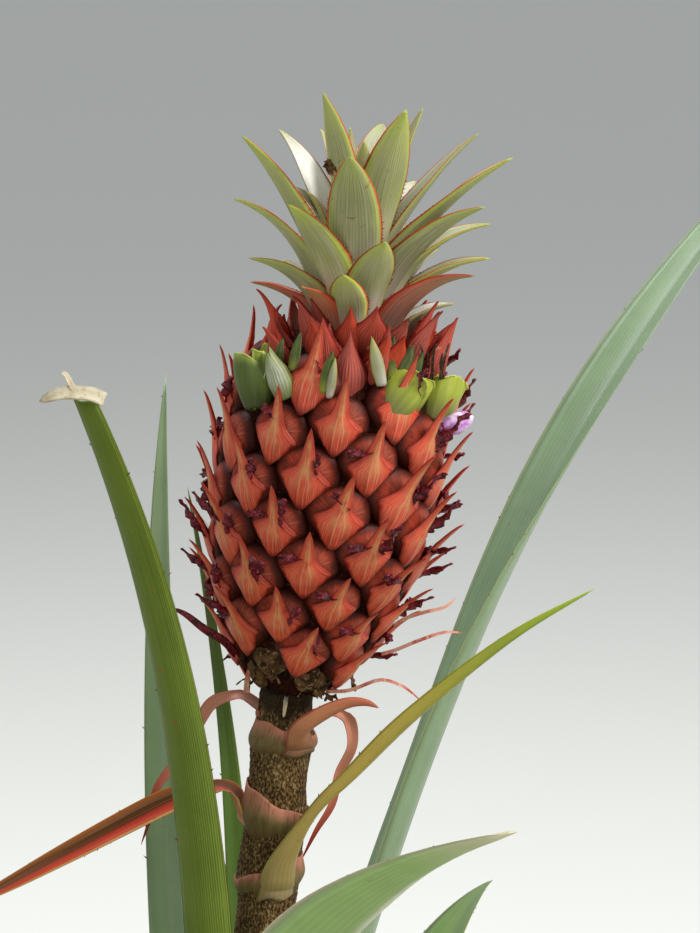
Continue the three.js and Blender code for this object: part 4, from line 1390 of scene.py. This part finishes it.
    def core(self) -> bpy.types.Object:
        """The knobby core between the eyes, near black: brown fuzz with painted crevice shade."""
        along, turn = np.linspace(0, self.height, 70)[:, None], circle(96)[None]
        knobs = 0.9 * np.sin(turn * 13 + along * 0.55) * np.sin(turn * 8 - along * 0.7)
        radius = np.maximum(self.radius(along) - self.core_under, self.core_least) + knobs
        rings = spread(radius * np.cos(turn), radius * np.sin(turn), along)
        flow = spread(turn / (2 * np.pi), along / self.height)
        return Skin().tube(self.place(rings), flow).piece("fruit_core", Kind.CREVICE)

    def build(self) -> None:
        """Builds the core, then everything that sits on the eyes."""
        keep(self.core(), "fruit", "fruit")
        growth = self.growth()
        bract, dome = self.bract(), self.dome()
        pressed, loose, wisp = (self.flower(*size) for size in (
            (0.46, 0.12, 0.12), (0.78, 0.105, 0.5), (0.8, 0.025, 0.7)))
        plain = {"Eyes": self.eyes, "Share": 1.1, "Size": 1.09, "Stand-off": -1.3, "Shift": 0.0,
                 "Spread": 0.0, "Bend": 0.0, "Skip": 1.0}
        rows = [
            ("fruit_bracts", bract, Kind.BRACT, {"Spread": 0.14, "Bend": 5.0, "Seed": 21}),
            ("fruit_domes", dome, Kind.DOME, {"Spread": 0.14, "Seed": 21}),
            ("pressed_flowers", pressed, Kind.WITHERED, {
                "Share": 0.75, "Spread": 1.3, "Bend": 4.0, "Seed": 45}),
            ("loose_flowers", loose, Kind.WITHERED, {"Share": 0.5, "Spread": 0.8, "Bend": 7.0, "Seed": 52}),
            ("dry_eye_lumps", dome, Kind.FUZZ, {
                "Eyes": 7, "Size": 0.72, "Stand-off": -2.2, "Spread": 1.2, "Seed": 61, "Skip": 0.0}),
            ("dry_eye_flakes", pressed, Kind.FUZZ, {
                "Eyes": 8, "Size": 0.9, "Shift": -0.25, "Spread": 2.2, "Bend": 12.0, "Stand-off": -1.2,
                "Seed": 66, "Skip": 0.0}),
            ("dry_eye_rags", loose, Kind.FUZZ, {
                "Eyes": 8, "Size": 0.55, "Shift": -0.1, "Spread": 2.5, "Bend": 9.0, "Stand-off": -1.6,
                "Seed": 71, "Skip": 0.0}),
            ("pale_wisps", wisp, Kind.WISP, {
                "Eyes": 26, "Share": 0.3, "Spread": 0.8, "Bend": 9.0, "Seed": 57})]
        for name, template, kind, values in rows:
            finish = kind.value.material()
            keep(growth.grow(name, {**plain, "Template": template, "Finish": finish, **values}), "fruit")
        for template in (bract, dome, pressed, loose, wisp):
            bpy.data.objects.remove(template)
        for name, (kind, wide, routes) in self.curls.items():
            ribbons(name, kind, "fruit", (0.3, -0.9, 0.3), *((wide, route) for route in routes))


@dataclass
class Crown:
    """The crown: red scales on the fruit's shoulder, then grey green leaves, on one spiral."""

    fruit: Fruit
    leaves: int = 50
    scales: int = 14
    lean: float = 4.6
    axis_height: float = 37
    axis_share: float = 0.66
    shoulder_radius: float = 19
    scale_drop: float = 14
    first_azimuth: float = -3.7
    divergence: float = 137.44
    reach: tuple[float, ...] = (33, 36, 47, 43, 12)
    rise: tuple[float, ...] = (10, 19, 42, 68, 84)
    width: tuple[float, ...] = (10, 12, 14.5, 15.5, 8)
    # Each: azimuth, reach, rise and width.
    named: dict[int, tuple[float, float, float, float]] = field(default_factory=lambda: {
        0: (-2, 30, 8, 14), 2: (80, 34, 12, 12), 3: (-60, 30, 11, 11), 5: (28, 35, 8, 12),
        6: (-100, 24, 10, 11), 7: (115, 31, 11, 11), 8: (-18, 25, 9, 13), 10: (60, 31, 8, 12),
        11: (-80, 33, 16, 11), 13: (12, 33, 17, 14),
        14: (-135, 27, 19, 11), 15: (98, 33, 15, 11), 16: (-36, 30, 20, 14), 18: (58, 44, 28, 15),
        19: (-118, 28, 24, 12), 20: (135, 38, 30, 13), 21: (-8, 33, 26, 13), 23: (82, 43, 32, 13),
        24: (-66, 39, 27, 14), 26: (16, 28, 37, 16), 27: (-78, 43, 45, 14), 28: (98, 43, 42, 12),
        29: (-36, 41, 47, 17), 31: (62, 44, 50, 16), 32: (-72, 43, 66, 15), 33: (150, 35, 52, 12),
        34: (-7, 49, 65, 18), 35: (-130, 39, 66, 14), 36: (72, 49, 66, 15), 37: (-100, 19, 48, 9),
        39: (26, 25, 79, 17), 40: (-150, 32, 67, 8), 41: (108, 38, 71, 11), 42: (-28, 34, 83, 12),
        43: (-165, 22, 64, 9), 44: (110, 18, 78, 9), 45: (-60, 8, 63, 9), 46: (150, 15, 71, 10),
        47: (-5, 19, 68, 8), 48: (-120, 7, 70, 8), 49: (100, 5, 70, 8)})
    hoary: tuple[int, ...] = (15, 19, 33, 35, 47)
    fillers: int = 27
    blush_up_to: int = 19
    # Each: finish, reach and rise of the foot, azimuth, reach, rise and width.
    extra: tuple = (
        (Kind.BLUSH, (14, 8), -82, 35, 18, 9), (Kind.SCALE, (17, -2), -52, 26, 16, 8),
        (Kind.SCALE, (17, -3), -38, 24, 16, 9), (Kind.CROWN, (9, 27), -112, 27, 49, 7))
    litter: tuple = (
        (1.6, ((39.8, -15, 631), (41.4, -16.5, 633), (43.6, -15, 632.4))),
        (1.6, ((40.6, -15, 629.6), (42, -17, 631), (44, -15.5, 633.6))),
        (1.6, ((40, -14.5, 633.4), (41.5, -16, 631.4), (43, -15, 629.8))),
        (1.6, ((41, -16, 630), (42.5, -17.4, 629.6), (43.8, -16, 631))))
    scale_outline: tuple = ((0, 0.1, 0.26, 0.4, 0.54, 0.7, 0.86, 1), (0.8, 0.97, 1, 0.8, 0.5, 0.25, 0.1, 0))
    leaf_outline: tuple = ((0, 0.15, 0.35, 0.5, 0.65, 0.8, 0.9, 0.96, 1),
                           (0.84, 0.93, 1, 0.94, 0.77, 0.49, 0.26, 0.11, 0))

    def __post_init__(self) -> None:
        """Works out where the crown sits."""
        self.seat = self.fruit.place(np.array([0, 0, self.fruit.height + CLEAR]))

    def axis_radius(self, height: Any) -> Any:
        """The radius of the crown's axis at a height."""
        return self.shoulder_radius * (1.1 - height / self.axis_height) ** 0.8

    def foot(self, turn: int) -> tuple[float, float]:
        """The reach and height of a leaf's foot."""
        if turn < self.scales:
            drop = self.scale_drop * (1 - turn / self.scales)
            return float(self.fruit.radius(self.fruit.height - drop)) - 3, -drop
        height = self.axis_height * ((turn - self.scales) / (self.leaves - self.scales)) ** 1.25
        return float(self.axis_radius(height)) * 0.7, height

    def entries(self, rng: np.random.Generator) -> list[tuple]:
        """What each leaf needs: its finish, foot, azimuth, reach, height and width."""
        made = []
        for turn in range(self.leaves):
            u = turn / (self.leaves - 1)
            sizes = [np.interp(u, np.linspace(0, 1, 5), row) for row in (self.reach, self.rise, self.width)]
            rule = (self.first_azimuth - self.divergence * turn, *sizes)
            kind = Kind.HOARY if turn in self.hoary else (
                Kind.SCALE if turn < self.scales else Kind.BLUSH if turn < self.blush_up_to else Kind.CROWN)
            made.append((kind, self.foot(turn), *self.named.get(turn, rule)))
        for number in range(self.fillers):
            drop = 2 + 9 * (number % 3) / 2 + rng.uniform(-1, 1)
            foot = float(self.fruit.radius(self.fruit.height - drop)) - 4
            azimuth = number * 360 / self.fillers + rng.uniform(-7, 7)
            low = 5 if 230 < azimuth < 305 else 0
            made.append((Kind.SCALE, (foot, -drop), azimuth, foot + rng.uniform(3, 8) - low,
                         15 + rng.uniform(-3, 4) - drop * 0.6 - low, rng.uniform(9, 12)))
        return made + list(self.extra)

    def blade(self, kind: Kind, foot: tuple, azimuth: float, reach: float, height: float, width: float,
              rng: np.random.Generator) -> Blade:
        """The blade of one leaf, in the crown's own frame."""
        foot, tip = np.array(foot), np.array([reach, height])
        upright = float(max(smooth(height - abs(azimuth) * 0.25, 20, 45), smooth(abs(azimuth), 34, 20)))
        knee = blend(foot, tip, blend(np.array([0.22, 0.84]), np.array([0.4, 0.66]), upright)) + (1.5, 0)
        t = np.linspace(0, 1, 26)[:, None]
        plan = foot * (1 - t) ** 2 + 2 * knee * t * (1 - t) + tip * t * t
        out, side = compass(azimuth)
        line = plan[:, :1] * out + plan[:, 1:] * np.array([0, 0, 1.0])
        tangent = unit(np.gradient(line, axis=0))
        side = np.broadcast_to(side, line.shape)
        t = t[:, 0]
        places, shares = self.scale_outline if kind is Kind.SCALE else self.leaf_outline
        trough, thick = blend(0.38, 0.2, smooth(t, 0.1, 0.6)), blend(1.3, 0.5, t)
        blade = Blade(line, side, np.cross(tangent, side) * -1, width * np.interp(t, places, shares),
                      trough, thick, rng.uniform(0, 1), fold=1.6)
        if np.dot(blade.upper[5], out) > 0:
            blade.upper = -blade.upper
        return blade.roll(rng.uniform(-12, 12) * t)

    def build(self) -> None:
        """Builds scales, leaves, the axis they stand on, and the spines near their feet."""
        rng = np.random.default_rng(9)
        skins = {kind: Skin() for kind in (Kind.CROWN, Kind.HOARY, Kind.SCALE, Kind.BLUSH)}
        edges = Edges()
        for kind, *entry in self.entries(rng):
            blade = self.blade(kind, *entry, rng).set_down(self.lean, self.seat)
            along = np.linspace(0, 1, len(blade.line))
            blade.build(skins[kind], edges, smooth(0.75 - along, 0, 0.4) * smooth(along, 0, 0.1))
        levels, turn = np.linspace(0, self.axis_height, 30)[:, None], circle(40)[None]
        radius = self.axis_radius(levels) * self.axis_share
        rings = spread(radius * np.cos(turn), radius * np.sin(turn), levels - 3)
        flow = spread(turn / (2 * np.pi), levels / self.axis_height * 0.3)
        skins[Kind.CROWN].tube(lean(rings, self.lean, self.seat), flow)
        for kind, skin in skins.items():
            nodes = ["crown"] if kind is Kind.CROWN else []
            keep(skin.piece(f"crown_{kind.value.title}", kind), "crown", *nodes)
        edges.spines("crown_spines", "crown", spacing=1.5, length=0.9, share=0.9, seed=5)
        ribbons("dry_litter", Kind.FUZZ, "crown", (0.2, -1, 0.4), *self.litter)


@dataclass(frozen=True)
class Cup:
    """A torn leaf foot, curled into a cup: where it sits, which way it opens, and its rim."""

    along: float
    azimuth: float
    lean: tuple[float, float, float]
    length: float
    radius: float
    flare: float
    arc: float
    start: float
    torn: float
    stand_off: float = 0.0


@dataclass
class SideShoots:
    """Broken side shoots and single leaves on the shoulder of the fruit, threads and a flower bud."""

    fruit: Fruit
    sunk: float = 7
    bud_at: tuple[float, float] = (98, 59)
    bud_radius: float = 3.5
    bud_length: float = 13
    shoots: dict[str, tuple] = field(default_factory=lambda: {
        "left": (Kind.SHOOT, (
            Cup(101, -56, (-0.35, 0.8, 0.25), 12, 6.2, 0.32, 140, 250, 0.16, -0.5),
            Cup(101, -56, (-0.25, 0.85, 0.2), 13, 4.8, 0.45, 120, 70, 0.2, -0.5),
            Cup(103, -52, (0.1, 0.9, 0.2), 11, 3.2, 0.5, 120, 200, 0.2, -0.5))),
        "right": (Kind.LIME, (
            Cup(107, 33, (0.5, 0.75, 0.25), 9, 6.0, 0.6, 115, 250, 0.25, -1),
            Cup(108, 46, (0.5, 0.8, 0.2), 7, 3.4, 0.5, 150, 280, 0.2, -0.5),
            Cup(109, 33, (0.3, 0.9, 0.1), 7, 4.0, 0.6, 150, 80, 0.25, -1))),
        "far_right": (Kind.LIME, (
            Cup(105, 70, (0.5, 0.75, 0.2), 11, 5.8, 0.5, 125, 270, 0.2, -0.5),
            Cup(105, 70, (0.45, 0.8, 0.1), 9, 4.6, 0.4, 170, 90, 0.25, -0.5)))})
    # Each: height on the fruit's axis, azimuth, tilt, length, width, finish, and how torn its tip is.
    singles: tuple = (
        (100, -32, -0.5, 15, 9.5, Kind.SCURF, 2.0), (110, 21, -0.5, 15, 5.5, Kind.HOARY, 0.5),
        (110, 33, 0.15, 13, 7, Kind.OLIVE, 1.0), (112, 27, -0.1, 13, 4, Kind.OLIVE, 0.3),
        (109, 37, 0.3, 12, 5, Kind.OLIVE, 1.0), (105, -12, 0.1, 13, 4.5, Kind.OLIVE, 0.3),
        (104, -8, 0.0, 12, 3.4, Kind.HOARY, 0.3), (109, -34, 0.1, 11, 4, Kind.OLIVE, 0.5),
        (108, -44, 0.2, 9, 4, Kind.OLIVE, 0.5))
    threads: tuple = (
        (0.7, ((70.5, -19, 562), (71.2, -22, 571.3), (70.2, -23, 575))),
        (0.7, ((74.2, -20, 563), (74.5, -22, 571.9), (75.7, -22, 575.2))),
        (0.7, ((76.8, -18, 563), (78.4, -19, 570.8), (79.7, -19, 575.1))),
        (0.7, ((72, -18, 562), (73, -21, 569), (72.6, -22, 573))),
        (0.7, ((78, -17, 563), (77, -19, 568), (77.6, -20, 572))))

    def cup(self, cup: Cup, rng: np.random.Generator, skin: Skin) -> None:
        """Adds one cup, closed sheet by closed sheet, with a wavy torn rim."""
        centre, side, up, proud = self.fruit.spot(cup.along, cup.azimuth)
        axis = unit(side * cup.lean[0] + up * cup.lean[1] + proud * cup.lean[2])
        across = unit(np.cross(axis, side))
        first = np.cross(across, axis)
        columns = 31
        t, share = np.linspace(0, 1, 18)[:, None], np.linspace(-1, 1, columns)[None]
        turn = np.radians(cup.start + share * cup.arc)
        shift = rng.uniform(0, 6)
        wave = (np.sin(2 * turn + shift) + 0.55 * np.sin(3 * turn + 2 * shift)
                + 0.12 * np.sin(11 * turn + shift))
        whole = self.sunk + cup.length * (1 + cup.torn * wave)
        reach = -self.sunk + whole * t - 2.2 * smooth(t, 0.84, 1)
        bulge = 0.7 + 0.42 * np.sin(np.pi * np.clip(t * 0.8, 0, 1)) + 0.05 * np.sin(4 * turn + shift) * t
        radius = cup.radius * (bulge + cup.flare * t ** 4 * (0.65 + 0.5 * np.sin(3 * turn + shift)))
        thick = 1.5 * (1 - 0.6 * t) * (1 - np.abs(share) ** 6)
        way = np.cos(turn)[..., None] * first + np.sin(turn)[..., None] * across
        middle = centre + proud * cup.stand_off + reach[..., None] * axis
        rings = doubled(middle + way * (radius - thick)[..., None], middle + way * radius[..., None])
        skin.leaf(self.fruit.place(rings), columns, rng.uniform(0, 1), False)

    def single(self, entry: tuple, rng: np.random.Generator, skin: Skin) -> None:
        """Adds one short leaf that lies against the fruit."""
        along, azimuth, tilt, length, width, _, torn = entry
        centre, side, up, proud = self.fruit.spot(along, azimuth)
        t = np.linspace(0, 1, 16)
        way = unit(up + side * tilt + proud * 0.25)
        line = centre + proud * (1.5 + 3 * np.sin(np.pi * t * 0.6))[:, None] + way * (t * length)[:, None]
        wide = np.broadcast_to(unit(np.cross(proud, way)), line.shape)
        tangent = unit(np.gradient(line, axis=0))
        inward = -unit(np.cross(tangent, wide))
        inward *= -np.sign(np.sum(inward * proud, axis=1, keepdims=True))
        full = width * np.interp(t, (0, 0.3, 0.6, 0.85, 1), (0.75, 1, 0.85, 0.45, 0.06 * torn + 0.02))
        blade = Blade(line, wide, inward, full, 0.3 + 0 * t, blend(1.2, 0.6, t), rng.uniform(0, 1),
                      11, False, 1.6, rng.uniform(-torn, torn, 11))
        blade.set_down(self.fruit.lean, self.fruit.seat).build(skin)

    def bud(self) -> bpy.types.Object:
        """A flower bud of rolled petals at the right of the fruit."""
        centre, side, up, proud = self.fruit.spot(*self.bud_at)
        t, turn = np.linspace(0, 1, 18)[:, None], circle(24)[None]
        way = unit(side * 0.8 + up * 0.3 + proud * 0.5)
        across = unit(np.cross(way, proud))
        other = np.cross(way, across)
        belly = np.sin(np.pi * np.clip(t * 0.94 + 0.05, 0, 1)) ** 0.7
        radius = self.bud_radius * belly * (1 + 0.12 * np.cos(3 * turn + 4 * t))
        rings = (centre + proud * 3 + way * (t * self.bud_length)[..., None]
                 + across * (radius * np.cos(turn))[..., None] + other * (radius * np.sin(turn))[..., None])
        flow = spread(turn / (2 * np.pi), t)
        return Skin().tube(self.fruit.place(rings), flow).piece("flower_bud", Kind.LILAC)

    def build(self) -> None:
        """Builds each shoot as its own piece, then the single leaves, the threads and the bud."""
        rng = np.random.default_rng(31)
        for name, (kind, cups) in self.shoots.items():
            skin = Skin()
            for cup in cups:
                self.cup(cup, rng, skin)
            keep(skin.piece(f"shoot_{name}", kind), "slip", f"slip_{name}")
        for kind in (Kind.SCURF, Kind.HOARY, Kind.OLIVE):
            skin = Skin()
            for entry in self.singles:
                if entry[5] is kind:
                    self.single(entry, rng, skin)
            keep(skin.piece(f"shoulder_{kind.value.title}", kind), "slip")
        ribbons("dry_threads", Kind.THREAD, "slip", (0.1, -1, 0.1), *self.threads)
        keep(self.bud(), "fruit")


@dataclass
class Studio:
    """Camera, lights and floor."""

    target: tuple[float, float, float] = (0.047784, 0.0, 0.53132)
    distance: float = 1.1
    look_down: float = 10.0
    lens: float = 128.617
    floor_reach: float = 60.0
    floor_colour: Colour = rgb(228, 228, 222)
    room_colour: Colour = (0.86, 0.9, 0.93, 1)
    room_light: float = 0.52
    # Each: name, place, size, power and colour.
    lamps: tuple = (
        ("key", (1.5, -0.6, 1.9), 0.8, 44, (1.0, 0.98, 0.94)),
        ("sky", (-0.4, 0.8, 2.2), 1.4, 32, (0.96, 0.98, 1.0)),
        ("front", (-0.8, -1.9, 0.9), 1.4, 7, (1.0, 0.98, 0.96)))

    def light(self, name: str, place: tuple[float, float, float], size: float, power: float,
              colour: tuple[float, float, float]) -> None:
        """Adds a soft square light that faces the fruit."""
        lamp = bpy.data.lights.new(name, "AREA")
        lamp.size, lamp.energy, lamp.color = size, power, colour
        made = bpy.data.objects.new(name, lamp)
        made.location = place
        made.rotation_euler = (Vector(self.target) - Vector(place)).to_track_quat("-Z", "Y").to_euler()
        bpy.context.scene.collection.objects.link(made)

    def build(self) -> None:
        """Sets up the camera first, then floor, backdrop light and lamps."""
        scene = bpy.context.scene
        camera = bpy.data.cameras.new("camera")
        camera.lens, camera.clip_start, camera.clip_end = self.lens, 0.02, 200
        made = bpy.data.objects.new("camera", camera)
        down = math.radians(self.look_down)
        made.location = Vector(self.target) + self.distance * Vector((0, -math.cos(down), math.sin(down)))
        made.rotation_euler = (math.pi / 2 - down, 0, 0)
        scene.collection.objects.link(made)
        scene.camera = made
        mesh = bpy.data.meshes.new("floor")
        far = self.floor_reach
        corners = [(-far, -far, 0), (far, -far, 0), (far, far, 0), (-far, far, 0)]
        mesh.from_pydata(corners, [], [(0, 1, 2, 3)])
        paper = bpy.data.materials.new("floor_paper")
        paper.use_nodes = True
        shader = paper.node_tree.nodes["Principled BSDF"]
        shader.inputs["Base Color"].default_value = self.floor_colour
        shader.inputs["Roughness"].default_value = 0.9
        mesh.materials.append(paper)
        floor = bpy.data.objects.new("floor", mesh)
        scene.collection.objects.link(floor)
        world = bpy.data.worlds.new("soft_room")
        world.use_nodes = True
        sky = world.node_tree.nodes["Background"]
        sky.inputs["Color"].default_value = self.room_colour
        sky.inputs["Strength"].default_value = self.room_light
        scene.world = world
        scene.view_settings.view_transform = "Standard"
        for lamp in self.lamps:
            self.light(*lamp)


def main() -> None:
    """Builds the plant part by part."""
    logging.basicConfig(level=logging.INFO, format="%(name)s: %(message)s")
    Studio().build()
    stem = Stem()
    stem.build()
    Rosette(stem).build()
    StalkLeaves(stem).build()
    fruit = Fruit(stem)
    fruit.build()
    Crown(fruit).build()
    SideShoots(fruit).build()


if __name__ == "__main__":
    main()
